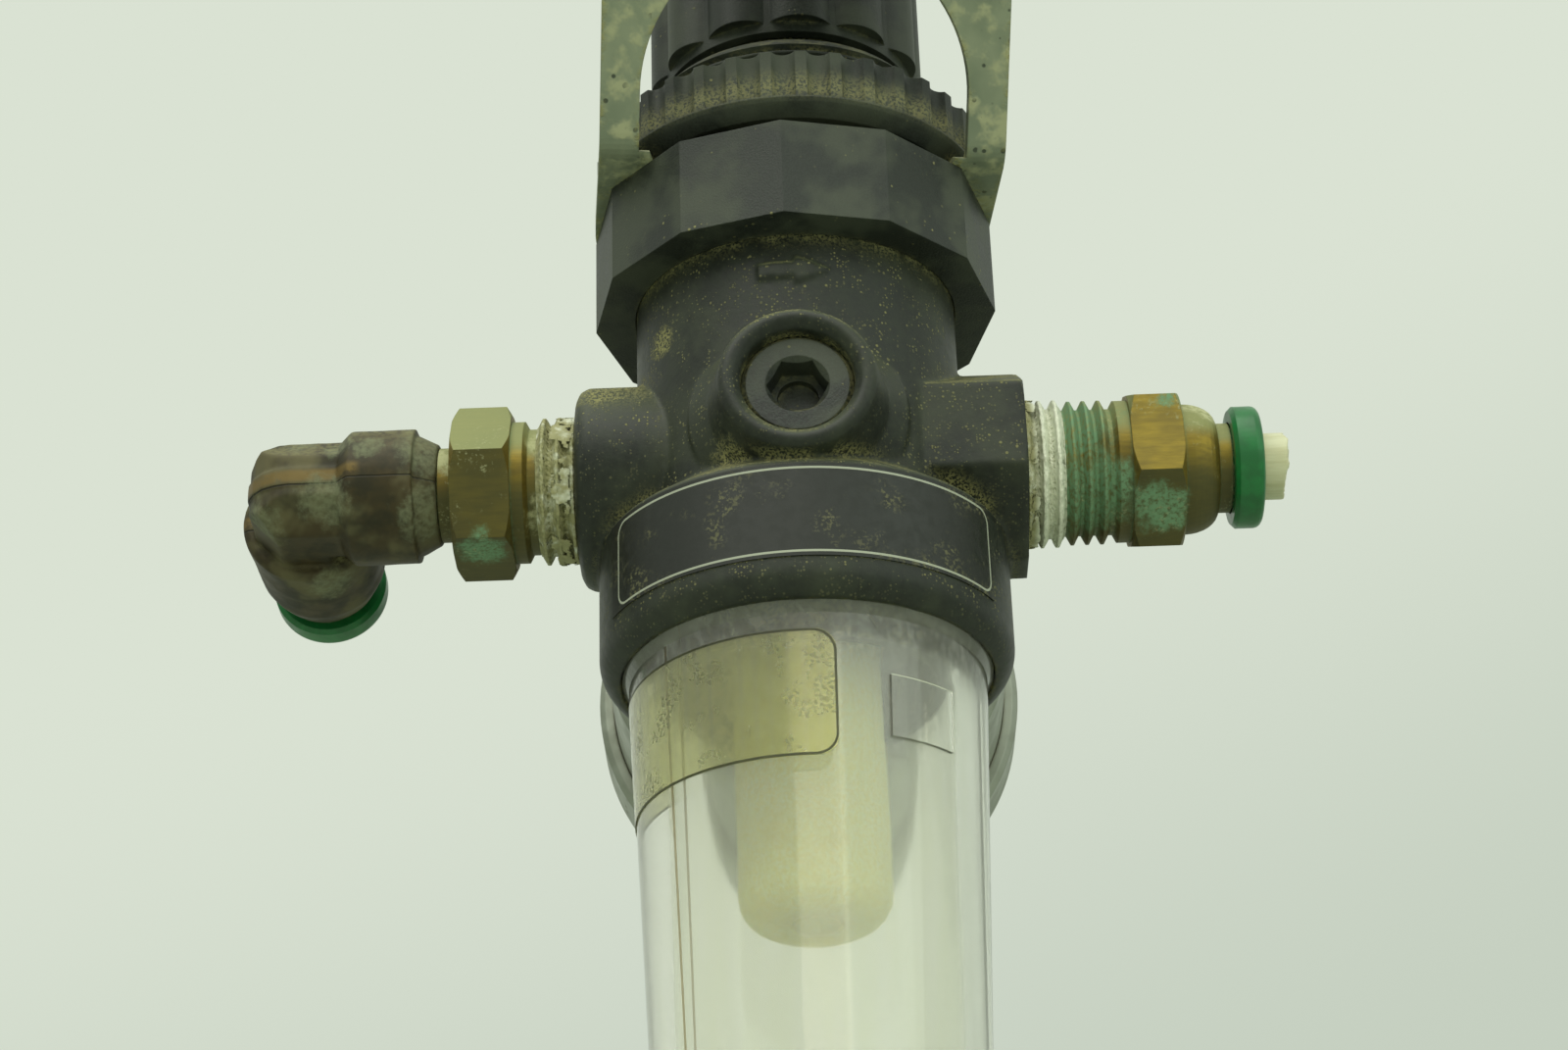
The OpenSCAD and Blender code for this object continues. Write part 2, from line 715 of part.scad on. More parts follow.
module body() at_port() color("#22282a") difference() {
    union() {
        barrel_and_collar();
        outlet_boss();
        inlet_boss();
        to_front() side_boss();
        to_back() side_boss();
        flow_arrow();
    }
    round_bar(chamber_r, chamber_floor, barrel_top + over);
    round_bar(seat_d / 2, seat_z, chamber_floor + over);
    valve_bore();
    ring(collar_bore_r, valve_boss_r, collar_foot - over, bowl_roof);
    round_bar(collar_bore_r, collar_foot - over, valve_boss_foot);
    ring(annulus_out_r, annulus_in_r, bowl_roof - over, annulus_roof);
    along_flow() port_bore(riser_x);
    against_flow() port_bore(drop_x);
    to_front() side_port();
    to_back() side_port();
    translate([riser_x, 0, 0]) cylinder(r = riser_r, h = chamber_floor + over);
    translate([-drop_x, 0, annulus_roof - over]) cylinder(r = riser_r, h = over - annulus_roof);
    for (side = [-1, 1]) translate([0, side * riser_x, 0]) cylinder(r = side_riser_r, h = chamber_floor + over);
}

module body_label() at_port() color("#1b1c1d")
    rotate([0, 0, -90 + label_from]) rotate_extrude(angle = label_to - label_from)
        translate([collar_r, collar_foot + collar_lip_h + label_inset])
            square([label_t, collar_h - collar_lip_h - label_inset - collar_top_r]);

// ---- Bonnet and clamped pieces ----

module neck() turned(concat([[0, skirt_top - over], [neck_r - thread_root_drop, skirt_top - over]],
    thread_outline(skirt_top, neck_h - neck_chamfer, neck_r, neck_r - thread_root_drop, neck_pitch),
    [[neck_r - 0.2, neck_top - neck_chamfer], [neck_r - neck_chamfer, neck_top], [0, neck_top]]));

module lock_ring(turn, inner, outer, foot) for (i = [0:lock_teeth - 1])
    rotate([0, 0, turn + 360 * i / lock_teeth]) translate([inner, -0.5, foot])
        cube([outer - inner, 1, lock_tooth_h]);

module bonnet() at_port() color("#262c2c") difference() {
    union() {
        rotate([0, 0, -90 + bonnet_turn]) round_bar_12(bonnet_d / 2, skirt_foot, skirt_top);
        neck();
        round_bar(turret_r, neck_top - over, turret_top);
        intersection() {
            lock_ring(0, turret_r - 1, turret_r + 1, lock_z);
            round_bar(turret_r + lock_rise, neck_top, turret_top);
        }
    }
    round_bar(barrel_r + slide_gap, skirt_foot - over, shoulder_z);
    round_bar(shoulder_bore_r, shoulder_z - over, bore_step_z);
    round_bar(turret_bore_r, bore_step_z - over, turret_top - turret_roof_t);
    round_bar(screw_r + run_gap, turret_top - turret_roof_t - over, turret_top + over);
    for (side = [0, 180]) rotate([0, 0, side]) translate([0, -ear_w / 2 - slide_gap, neck_top - 8])
        cube([turret_bore_r + slot_depth, ear_w + 2 * slide_gap, rest_top - neck_top + 8 + 1]);
    translate([0, chamber_r, (shoulder_z + skirt_top) / 2]) to_back() cylinder(r = vent_r, h = bonnet_d);
}

module round_bar_12(r, foot, top) translate([0, 0, foot]) cylinder(r = r, h = top - foot, $fn = 12);

module slip_ring() at_port() color("#b9bdbd")
    ring(barrel_r - slide_gap, shoulder_bore_r + slide_gap, barrel_top + diaphragm_t, shoulder_z);

module diaphragm() at_port() color("#1c1b1b") turned([
    [hub_pin_r, barrel_top], [fold_in, barrel_top], [fold_in + 0.4, barrel_top - fold_drop],
    [fold_out - 0.4, barrel_top - fold_drop], [fold_out, barrel_top], [barrel_r - slide_gap, barrel_top],
    [barrel_r - slide_gap, plate_foot], [fold_out - 0.4, plate_foot], [fold_out - 0.8, plate_foot - fold_drop],
    [fold_in + 0.8, plate_foot - fold_drop], [fold_in + 0.4, plate_foot], [hub_pin_r, plate_foot]]);

module pressure_plate() at_port() color("#c4c6c4") difference() {
    union() {
        round_bar(pressure_plate_r, plate_foot, plate_foot + pressure_plate_t);
        round_bar(spring_boss_r, plate_foot, plate_foot + pressure_plate_t + spring_boss_h);
    }
    round_bar(hub_pin_r, plate_foot - over, plate_foot + 9);
}

module relief_hub() at_port() color("#c9a54e") difference() {
    union() {
        round_bar(hub_pin_r, barrel_top - over / 2, plate_foot + pressure_plate_t + spring_boss_h);
        round_bar(fold_in - 1.4, barrel_top - hub_disc_t, barrel_top);
        round_bar(hub_pin_r, hub_foot_z, barrel_top - hub_disc_t);
    }
    round_bar(relief_r, hub_foot_z - over, plate_foot + 9);
}

// ---- Knob, screw and range spring ----

module knob() at_port() color("#1f2425") difference() {
    union() {
        round_bar(knob_r, knob_foot, knob_top - chamfer);
        turned([[0, knob_top - chamfer - over], [knob_r, knob_top - chamfer - over],
            [knob_r, knob_top - chamfer], [knob_r - chamfer, knob_top], [0, knob_top]]);
        intersection() {
            for (i = [0:knob_lobes - 1]) rotate([0, 0, lobe_turn - 90 + 360 * i / knob_lobes])
                translate([knob_r + lobe_rise - lobe_d / 2, 0, knob_foot + knob_ring_h])
                    cylinder(r = lobe_d / 2, h = knob_h - knob_ring_h, $fn = 32);
            turned([[0, knob_foot], [knob_r + lobe_rise, knob_foot], [knob_r + lobe_rise, knob_top - 2],
                [knob_r + lobe_rise - 1.6, knob_top], [0, knob_top]]);
        }
    }
    difference() {
        round_bar(knob_bore_r, knob_foot - over, knob_top - knob_roof);
        round_bar(hub_r, hub_foot, knob_top);
        difference() {
            lock_ring(180 / lock_teeth, turret_r + slide_gap, knob_bore_r + over, lock_z + lock_tooth_h + slide_gap);
            round_bar(turret_r + slide_gap, knob_foot, knob_top);
        }
    }
    translate([0, 0, hub_foot - over])
        cylinder(r = (drive_af / 2 + slide_gap) / cos(30), h = knob_top - knob_roof - hub_foot + over, $fn = 6);
}

module adjusting_screw() at_port() color("#c7cac8") union() {
    turned([[0, screw_foot], [screw_r - chamfer, screw_foot], [screw_r, screw_foot + chamfer],
        [screw_r, screw_collar_top - screw_collar_t], [screw_collar_r, screw_collar_top - screw_collar_t],
        [screw_collar_r, screw_collar_top], [screw_r, screw_collar_top], [screw_r, drive_foot + chamfer],
        [0, drive_foot + chamfer]]);
    translate([0, 0, drive_foot]) cylinder(r = drive_af / 2 / cos(30), h = drive_top - drive_foot, $fn = 6);
}

module spring_rest_nut() at_port() color("#c9a54e") difference() {
    union() {
        round_bar(rest_r, rest_foot, rest_top);
        round_bar(spring_boss_r, rest_foot - spring_boss_h, rest_top);
        translate([-rest_r - ear_h, -ear_w / 2, rest_foot]) cube([2 * rest_r + 2 * ear_h, ear_w, rest_t]);
    }
    round_bar(screw_r + run_gap, rest_foot - spring_boss_h - over, rest_top + over);
}

module range_spring() at_port() color("#9aa1a0")
    spring((spring_d - spring_wire) / 2, spring_wire, range_spring_foot, range_spring_top, spring_turns, 16, 8);

// ---- Panel nut and bracket ----

module panel_nut() at_port() color("#2b312c") difference() {
    turned([[0, nut_foot], [nut_foot_r, nut_foot], [nut_r - 0.3, nut_foot + nut_rim - 0.3],
        [nut_r, nut_foot + nut_rim], [nut_r, nut_foot + nut_h], [0, nut_foot + nut_h]]);
    round_bar(nut_bore_r, nut_foot - over, nut_foot + nut_h + over);
    for (i = [0:nut_ribs - 1]) rotate([0, 0, nut_turn + 360 * i / nut_ribs])
        translate([nut_r + nut_tool_r - nut_hollow, 0, nut_foot + nut_rim + 0.2])
            cylinder(r = nut_tool_r, h = nut_h, $fn = 16);
}

// Side view of the bracket: x is the distance towards the wall, y is the height
function bracket_side(r) =
    let (lower = bend_reach - bend_out_r * tan(leg_angle / 2),
        upper_z = upper_vertex_z + bend_out_r * tan((90 - leg_angle) / 2))
    concat([[-bracket_w / 2, skirt_top + bend_out_r - r]],
        arc(lower, skirt_top + bend_out_r, r, -90, leg_angle - 90, bend_steps),
        arc(wall_reach - bend_out_r, upper_z, r, leg_angle - 90, 0, bend_steps),
        [[wall_reach - bend_out_r + r, wall_top]]);

module bracket_strip() {
    outer = bracket_side(bend_out_r);
    inner = bracket_side(bend_r);
    rotate([0, 0, -90]) rotate([90, 0, 0]) linear_extrude(bracket_w, center = true)
        polygon(concat(outer, [for (i = [len(inner) - 1:-1:0]) inner[i]]));
}

module bracket_window() translate([0, -bend_reach, skirt_top]) rotate([180 - leg_angle, 0, 0])
    linear_extrude(6 * plate_t, center = true) {
        translate([0, window_rise]) circle(r = window_r);
        translate([-window_r, 0]) square([2 * window_r, window_rise]);
    }

module wall_outline() {
    high = wall_top - wall_corner_r;
    translate([-bracket_w / 2, 0]) square([bracket_w, high]);
    translate([-bracket_w / 2 + wall_corner_r, 0]) square([bracket_w - 2 * wall_corner_r, wall_top]);
    for (side = [-1, 1]) translate([side * (bracket_w / 2 - wall_corner_r), high]) circle(r = wall_corner_r);
}

module bracket() at_port() color("#8d9890") rotate([0, 0, bracket_turn]) difference() {
    intersection() {
        bracket_strip();
        union() {
            round_bar(bracket_w / 2, skirt_top - over, skirt_top + 3 * plate_t);
            to_front() linear_extrude(2 * wall_reach) wall_outline();
        }
    }
    round_bar(bracket_bore_r, skirt_top - over, skirt_top + 2 * plate_t + over);
    bracket_window();
    for (side = [-1, 1]) translate([side * wall_hole_gap / 2, 0, wall_hole_z]) to_front()
        translate([0, 0, wall_reach - 3 * plate_t]) cylinder(r = wall_hole_d / 2, h = 6 * plate_t);
}

// ---- Valve, deflector and element ----

module poppet() at_port() color("#c9a54e") union() {
    round_bar(poppet_r, poppet_top - poppet_t, poppet_top);
    round_bar(stem_d / 2, poppet_top - over, tip_foot);
    translate([0, 0, tip_foot]) cylinder(r1 = stem_d / 2, r2 = tip_r, h = stem_d / 2 - tip_r);
    round_bar(guide_stem_r, pocket_floor + 1, poppet_top - over);
    translate([0, 0, pocket_floor - guide_stem_len])
        cylinder(r = stud_bore_r - run_gap, h = guide_stem_len + 1.5, $fn = 3);
}

module poppet_seal() at_port() color("#161616")
    ring(poppet_r - 0.2, stem_d / 2, poppet_top, seat_z - 0.02);

module valve_spring() at_port() color("#a7adab")
    spring(valve_spring_r - valve_wire / 2, valve_wire, valve_spring_foot, valve_spring_top, 5, 16, 6);

module valve_guide() at_port() color("#3b4142") difference() {
    union() {
        round_bar(valve_bore_r - slide_gap, guide_flange_top, guide_top);
        round_bar(valve_boss_r + 0.8, guide_flange_top - guide_flange_t, guide_flange_top);
        round_bar(stud_r, stud_foot, guide_flange_top);
    }
    round_bar(pocket_r, pocket_floor, guide_top + over);
    round_bar(stud_bore_r, stud_foot - over, pocket_floor + over);
    translate([0, 0, guide_groove_z]) rotate_extrude()
        translate([valve_bore_r - guide_groove_depth, -guide_groove_h / 2])
            square([guide_groove_depth, guide_groove_h]);
    for (turn = [0, 90]) rotate([0, 0, turn]) translate([0, 0, stud_foot + stud_port_rise])
        along_flow() cylinder(r = 1, h = 4 * stud_r, center = true);
}

module guide_seal() at_port() color("#161616")
    o_ring(valve_bore_r - guide_seal_r - seal_gap, guide_seal_r, guide_groove_z);

module deflector() at_port() color("#2f3536") difference() {
    union() {
        ring(deflector_r, stud_r + slide_gap, element_top, deflector_top);
        ring(deflector_r, deflector_r - 1.1, deflector_top - deflector_h, deflector_top);
    }
    for (i = [0:deflector_vanes - 1]) rotate([0, 0, 360 * i / deflector_vanes])
        translate([deflector_r - 2, 0, deflector_top - deflector_h / 2 - 0.6]) rotate([32, 0, 0])
            cube([5, 1.1, deflector_h * 0.62], center = true);
}

module filter_element() at_port() color("#e9e2b8") difference() {
    turned(concat([[0, element_foot], [element_r - element_round, element_foot]],
        arc(element_r - element_round, element_foot + element_round, element_round, -90, 0, 5),
        [[element_r, element_top], [0, element_top]]));
    round_bar(element_bore_r, element_foot + element_wall, element_top - element_neck);
    round_bar(stud_r + run_gap, element_top - element_neck - over, element_top + over);
    turned([[element_r - element_round - 2.3, element_foot - over],
        [element_r - element_round - 1.9, element_foot - over],
        [element_r - element_round - 1.9, element_foot + 0.4],
        [element_r - element_round - 2.3, element_foot + 0.4]]);
}

// ---- Bowl and drain ----

function dome(r, flat, depth, foot) =
    [for (i = [0:dome_steps]) let (a = 90 * i / dome_steps)
        [flat + (r - flat) * sin(a), foot + depth * (1 - cos(a))]];

module bowl() at_port() color("#dfe6d8", 0.5) difference() {
    union() {
        turned(concat([[0, bowl_bottom]], dome(bowl_foot_r, dome_flat_r, dome_h, bowl_bottom),
            [[bowl_r, collar_foot - bowl_land_h], [bowl_r + bowl_thread_h, collar_foot + 0.2],
                [bowl_r + bowl_thread_h, collar_foot + 0.2 + bowl_land_h], [bowl_r, collar_foot + 0.4 + bowl_land_h],
                [bowl_r, bowl_top - bowl_neck_h - 0.2]],
            [[bowl_neck_r, bowl_top - bowl_neck_h], [bowl_neck_r, bowl_top], [0, bowl_top]]));
        turned(concat([[bowl_r - 1, collar_foot + 2]],
            thread_outline(collar_foot + 2.2, bowl_lead * 2, bowl_r + bowl_thread_h, bowl_r, bowl_lead),
            [[bowl_r - 1, collar_foot + 8.6]]));
        rotate([0, 0, -90 + pad_turn - pad_angle / 2]) rotate_extrude(angle = pad_angle)
            polygon([[bowl_radius(pad_top) - 1, pad_top], [bowl_radius(pad_top) + emboss, pad_top],
                [bowl_radius(pad_top - pad_h) + emboss, pad_top - pad_h],
                [bowl_radius(pad_top - pad_h) - 1, pad_top - pad_h]]);
    }
    turned(concat([[0, bowl_bottom + bowl_floor]],
        dome(bowl_foot_r - bowl_wall, dome_flat_r, dome_h - 0.8, bowl_bottom + bowl_floor),
        [[bowl_neck_r - bowl_wall, collar_foot], [bowl_neck_r - bowl_wall, bowl_top + over], [0, bowl_top + over]]));
    round_bar(drain_r + run_gap, bowl_bottom - over, bowl_bottom + bowl_floor + over);
}

module bowl_seal() at_port() color("#1a1a1a")
    o_ring(collar_bore_r - seal_section - seal_gap, seal_section, bowl_top - bowl_neck_h + seal_section + seal_gap);

// What rounding takes off the film's two corners at its right end
module film_corner_waste() for (end = [0, 1]) mirror([0, end]) translate([0, (1 - end) * film_h])
    let (centre = film_corner_out - film_corner_r)
    polygon(concat([[over, centre], [over, over], [centre, over]], arc(centre, centre, film_corner_r, 90, 0, 5)));

module bowl_film() at_port() color("#e4e0a4", 0.6) difference() {
    rotate([0, 0, -90 + film_from]) rotate_extrude(angle = film_to - film_from)
        polygon([[bowl_radius(film_top), film_top], [bowl_radius(film_top) + film_t, film_top],
            [bowl_radius(film_top - film_h) + film_t, film_top - film_h],
            [bowl_radius(film_top - film_h), film_top - film_h]]);
    translate([bowl_r * sin(film_to), 0, film_top - film_h]) to_front()
        linear_extrude(bowl_r + over) film_corner_waste();
}

module drain_body() at_port() color("#24292a") difference() {
    seat = bowl_bottom + bowl_floor + drain_seal_t;
    turned([[0, spout_foot], [drain_r - barb_rise, spout_foot], [drain_r, spout_foot + 1.3],
        [drain_r - barb_rise, spout_foot + 1.5], [drain_r - barb_rise, tap_foot - 1.3],
        [drain_r + lip_rise, tap_foot - 0.6], [drain_r + lip_rise, tap_foot - slide_gap],
        [drain_r, tap_foot - slide_gap], [drain_r, seat], [drain_head_r, seat], [drain_head_r, seat + drain_head_t - chamfer],
        [drain_head_r - chamfer, seat + drain_head_t], [0, seat + drain_head_t]]);
    round_bar(drain_bore_d / 2, spout_foot - over, seat + drain_head_t + over);
}

module drain_seal() at_port() color("#161616")
    ring(drain_head_r - 0.1, drain_r + run_gap, bowl_bottom + bowl_floor, bowl_bottom + bowl_floor + drain_seal_t);

module drain_nut() at_port() color("#2b3030") difference() {
    hexagon(drain_nut_af, drain_nut_foot, bowl_bottom, 0);
    round_bar(drain_r + run_gap, drain_nut_foot - over, bowl_bottom + over);
}

module drain_tap() at_port() color("#30363a") difference() {
    turned([[0, tap_foot], [tap_d / 2 - chamfer, tap_foot], [tap_d / 2, tap_foot + chamfer],
        [tap_d / 2, tap_top - chamfer], [tap_d / 2 - chamfer, tap_top], [0, tap_top]]);
    round_bar(drain_r + run_gap, tap_foot - over, tap_top + over);
    for (i = [0:tap_grips - 1]) rotate([0, 0, 360 * i / tap_grips])
        translate([tap_d / 2 + 0.3, 0, tap_foot - over]) cylinder(r = 0.6, h = tap_h + 2 * over, $fn = 16);
}

// ---- Gauge and its port plug ----

module gauge_port_plug() at_port() color("#3a3f3f") to_front() difference() {
    foot = side_reach - side_thread_len + 0.4;
    face = side_reach - plug_recess;
    turned([[0, foot], [side_bore_r - chamfer, foot], [side_bore_r - run_gap, foot + chamfer],
        [side_bore_r - run_gap, face - chamfer], [side_bore_r - chamfer, face], [0, face]]);
    translate([0, 0, foot + plug_key_floor]) cylinder(r = plug_key_af / 2 / cos(30), h = side_thread_len, $fn = 6);
    translate([0, 0, foot + plug_key_floor / 2]) cylinder(r = plug_centre_r, h = plug_key_floor);
    translate([0, 0, face - chamfer])
        cylinder(r1 = plug_key_mouth_r - chamfer, r2 = plug_key_mouth_r + chamfer, h = 2 * chamfer);
}

module gauge_socket() at_port() color("#b98d3c") to_back() difference() {
    union() {
        turned(concat([[0, side_reach - side_thread_len + 0.6]],
            thread_outline(side_reach - side_thread_len + 0.6, side_thread_len + 1.6, side_bore_r - run_gap,
                side_bore_r - 0.75, 0.941),
            [[side_bore_r - 0.75, case_back - 7.4], [0, case_back - 7.4]]));
        hexagon(gauge_af, case_back - 7.4, case_back - 0.3, 0);
        round_bar(block_r, case_back - over, block_front);
        translate([-block_r / 2, 0, bourdon_back]) cube([block_r, bourdon_r + bourdon_w, bourdon_h]);
    }
    round_bar(1.3, side_reach - side_thread_len - over, case_back + 4);
    translate([0, 0, block_front - 2]) cylinder(r = staff_r + run_gap, h = 2 + over);
}

module gauge_case() at_port() color("#9ea194") to_back() difference() {
    turned([[0, case_back], [case_r - case_chamfer, case_back], [case_r, case_back + case_chamfer],
        [case_r, case_front], [0, case_front]]);
    difference() {
        round_bar(case_bore_r, case_back + case_wall, case_front + over);
        for (side = [-1, 1]) translate([side * dial_post_x, 0, case_back])
            cylinder(r = dial_post_r, h = dial_front - dial_t - case_back);
    }
    round_bar(block_r + run_gap, case_back - over, case_back + case_wall + over);
}

module gauge_bezel() at_port() color("#a2a598") to_back() difference() {
    turned([[0, bezel_back], [bezel_r - 0.6, bezel_back], [bezel_r, bezel_back + 0.6],
        [bezel_r, bezel_front - 1.2], [bezel_r - 1.2, bezel_front], [0, bezel_front]]);
    round_bar(case_r + run_gap, bezel_back - over, case_front);
    round_bar(case_r - 0.3, case_front - over, window_front);
    round_bar(bezel_lip_r, window_front - over, bezel_front + over);
}

module gauge_window() at_port() color("#e6efe9", 0.35) to_back()
    round_bar(case_r - 0.3 - run_gap, window_back, window_front);

module gauge_dial() at_port() color("#f1f1ea") to_back()
    ring(dial_r, staff_r + 0.9, dial_front - dial_t, dial_front);

// The pointer rests at the start of its sweep, low on the reader's left
module gauge_pointer() at_port() color("#141414") to_back() difference() {
    union() {
        round_bar(pointer_hub_r, pointer_back, pointer_back + pointer_t + 0.4);
        rotate([0, 0, pointer_sweep / 2]) translate([0, 0, pointer_back]) linear_extrude(pointer_t)
            polygon([[-0.8, pointer_tail], [0.8, pointer_tail], [0.8, 0], [0.2, -pointer_len],
                [-0.2, -pointer_len], [-0.8, 0]]);
    }
    round_bar(staff_r, pointer_back - over, pointer_back + pointer_t + over);
}

// Straight-sided teeth round a gear's rim
function gear_rim(teeth, first, last, module_mm) =
    let (r = teeth * module_mm / 2, pitch = 360 / teeth,
        tip = r + gear_addendum * module_mm, root = r - gear_dedendum * module_mm,
        slack = gear_backlash / 2)
    [for (i = [first:last], p = [[root, -0.34], [r, slack - 0.25], [tip, slack - 0.16], [tip, 0.16 - slack],
            [r, 0.25 - slack], [root, 0.34]])
        let (a = (i + p[1]) * pitch) [p[0] * cos(a), p[0] * sin(a)]];

module pointer_pinion() at_port() color("#c9a54e") to_back() union() {
    round_bar(staff_r, block_front - 1.4, pointer_back + pointer_t);
    translate([0, 0, gear_back - 0.2]) linear_extrude(gear_t + 0.4)
        polygon(gear_rim(pinion_teeth, 0, pinion_teeth - 1, gear_module));
}

// The sector hangs below the pinion and meshes with its lowest teeth
module sector_gear() at_port() color("#c9a54e") to_back() translate([0, gear_centres, 0]) difference() {
    half = ceil(sector_teeth * sector_sweep / 360 / 2) + 2;
    translate([0, 0, gear_back]) rotate([0, 0, -90 + sector_sweep / 2])
        linear_extrude(gear_t) difference() {
            polygon(concat([[-sector_hub_half, -sector_hub_half], [sector_arm_x, -sector_arm_half]],
                gear_rim(sector_teeth, -half, half, gear_module),
                [[sector_arm_x, sector_arm_half], [-sector_hub_half, sector_hub_half]]));
            circle(r = pivot_r + run_gap, $fn = 24);
        }
}

module movement_plate() at_port() color("#b98d3c") to_back() difference() {
    union() {
        translate([-movement_half_w, -movement_drop, block_front])
            cube([2 * movement_half_w, gear_centres + movement_drop + movement_rise, plate_front - block_front]);
        translate([0, gear_centres, plate_front - over / 2]) cylinder(r = pivot_r, h = gear_back - plate_front + gear_t + pivot_rise);
    }
    round_bar(staff_r + run_gap, block_front - over, plate_front + over);
}

module bourdon_tube() at_port() color("#c2a05a") to_back() translate([0, 0, bourdon_back])
    rotate([0, 0, bourdon_start]) rotate_extrude(angle = bourdon_sweep) difference() {
        translate([bourdon_r - bourdon_w / 2, 0]) square([bourdon_w, bourdon_h]);
        translate([bourdon_r - bourdon_w / 2 + 0.3, 0.3]) square([bourdon_w - 0.6, bourdon_h - 0.6]);
    }

// ---- Tube fittings ----

// The frame of a tube socket: +Z leads out of its mouth, and z = 0 is the mouth
module socket_cut() {
    round_bar(mouth_bore_r, -mouth_depth, over);
    round_bar(tube_socket_r, -stop_depth, 0);
    round_bar(tube_groove_r, -seal_depth - tube_seal_r - 0.2, -seal_depth + tube_seal_r + 0.2);
}

module tube_seal() o_ring(tube_socket_r + tube_seal_r, tube_seal_r - seal_gap, -seal_depth);

module gripper() turned([[tube_socket_r, -gripper_depth - 0.3], [mouth_bore_r, -gripper_depth],
    [mouth_bore_r, -gripper_depth + gripper_t], [tube_socket_r, -gripper_depth + gripper_t - 0.3]]);

module release_ring(d) difference() {
    foot = slide_gap;
    turned(concat([[0, -sleeve_foot], [sleeve_r, -sleeve_foot], [sleeve_r, foot], [d / 2 - ring_edge, foot],
        [d / 2, foot + ring_edge]], arc(d / 2 - ring_round, foot + ring_t - ring_round, ring_round, 0, 90, 4),
        [[0, foot + ring_t]]));
    round_bar(tube_socket_r, -sleeve_foot - over, foot + ring_t + over);
    ring(mouth_r + slide_gap, sleeve_r, foot - over, foot + ring_recess);
    for (turn = [0, 90]) rotate([0, 0, turn]) translate([-sleeve_r * 2, -0.3, -sleeve_foot - over])
        cube([sleeve_r * 4, 0.6, sleeve_foot * 0.6 + over]);
}

module at_outlet_mouth() at_port() translate([port_half + outlet_mouth, 0, 0]) along_flow() children();
module at_elbow_mouth() at_port() translate([-port_half - elbow_axis, elbow_reach, 0]) to_back() children();

// A pipe thread from inside the port to the hexagon
function fitting_thread(shank) =
    let (root = thread_d / 2 - thread_root_drop)
    concat([[0, -thread_grip], [root, -thread_grip]],
        thread_outline(-thread_grip, thread_grip + shank - 1.6, thread_d / 2, root, thread_pitch),
        [[root, shank - 1.6], [thread_d / 2 - 0.1, shank - 1.2], [thread_d / 2 - 0.1, shank + 0.2],
            [0, shank + 0.2]]);

// Outline of the domed shoulder between the outlet's hexagon and its neck
function shoulder_dome() = [for (i = [0:dome_steps]) let (a = 90 * i / dome_steps)
    [mouth_r + (shoulder_r - mouth_r) * cos(a),
        outlet_hex_end + shoulder_foot + (shoulder_len - shoulder_foot) * sin(a)]];

module straight_body() at_port() color("#a98a45") translate([port_half, 0, 0]) along_flow() difference() {
    union() {
        turned(fitting_thread(outlet_shank));
        hexagon(hex_af, outlet_shank, outlet_hex_end, outlet_hex_turn);
        turned(concat([[0, outlet_hex_end - over], [shoulder_r, outlet_hex_end - over]], shoulder_dome(),
            [[mouth_r, outlet_mouth], [0, outlet_mouth]]));
    }
    round_bar(through_r, -thread_grip - over, outlet_mouth);
    translate([0, 0, outlet_mouth]) socket_cut();
}

module straight_tube_seal() at_outlet_mouth() color("#161616") tube_seal();
module straight_gripper() at_outlet_mouth() color("#c3c8c6") gripper();
module straight_release_ring() at_outlet_mouth() color("#1f8a4a") release_ring(ring_d);

module tube_stub() at_outlet_mouth() color("#e2e4d8") difference() {
    round_bar(tube_d / 2, -stop_depth + slide_gap, slide_gap + ring_t + tube_stub_len);
    round_bar(tube_bore_d / 2, -stop_depth - over, slide_gap + ring_t + tube_stub_len + over);
    translate([0, 0, slide_gap + ring_t + tube_stub_len]) rotate([0, 7, 0]) cylinder(r = tube_d, h = tube_d);
}

module elbow_stem() at_port() color("#a98a45") translate([-port_half, 0, 0]) against_flow() difference() {
    union() {
        turned(fitting_thread(inlet_shank));
        hexagon(hex_af, inlet_shank, inlet_hex_end, inlet_hex_turn);
        round_bar(inlet_neck_r, inlet_hex_end - over, inlet_neck_end);
        round_bar(spigot_r, inlet_neck_end - over, inlet_neck_end + spigot_len);
    }
    round_bar(through_r, -thread_grip - over, inlet_neck_end + spigot_len + over);
    translate([0, 0, stem_seal_at]) rotate_extrude()
        translate([spigot_r - stem_groove_depth, -stem_seal_r - slide_gap])
            square([stem_groove_depth + over, 2 * (stem_seal_r + slide_gap)]);
}

module elbow_stem_seal() at_port() color("#161616") translate([-port_half, 0, 0]) against_flow()
    o_ring(spigot_r + run_gap - stem_seal_r - seal_gap, stem_seal_r, stem_seal_at);

module octagonal_bar(half, foot, top) rotate([0, 0, 22.5]) translate([0, 0, foot])
    cylinder(r = half / cos(22.5), h = top - foot, $fn = 8);

// Plan of the elbow's two bars from above, from the point where their axes cross, with the outer corner rounded
module elbow_plan(half, arm_len, leg_len) polygon(concat(
    [[arm_len, -half], [arm_len, half], [half, half], [half, leg_len], [-half, leg_len]],
    arc(elbow_corner_r - half, elbow_corner_r - half, elbow_corner_r, 180, 270, 5)));

// The elbow's outer end seen from the front, rounded above and below
module elbow_front(half) let (centre = half - elbow_end_r) polygon(concat([[half + over, half + over]],
    arc(-centre, centre, elbow_end_r + elbow_end_out, 90, 180, 4),
    arc(-centre, -centre, elbow_end_r + elbow_end_out, 180, 270, 4),
    [[half + over, -half - over]]));

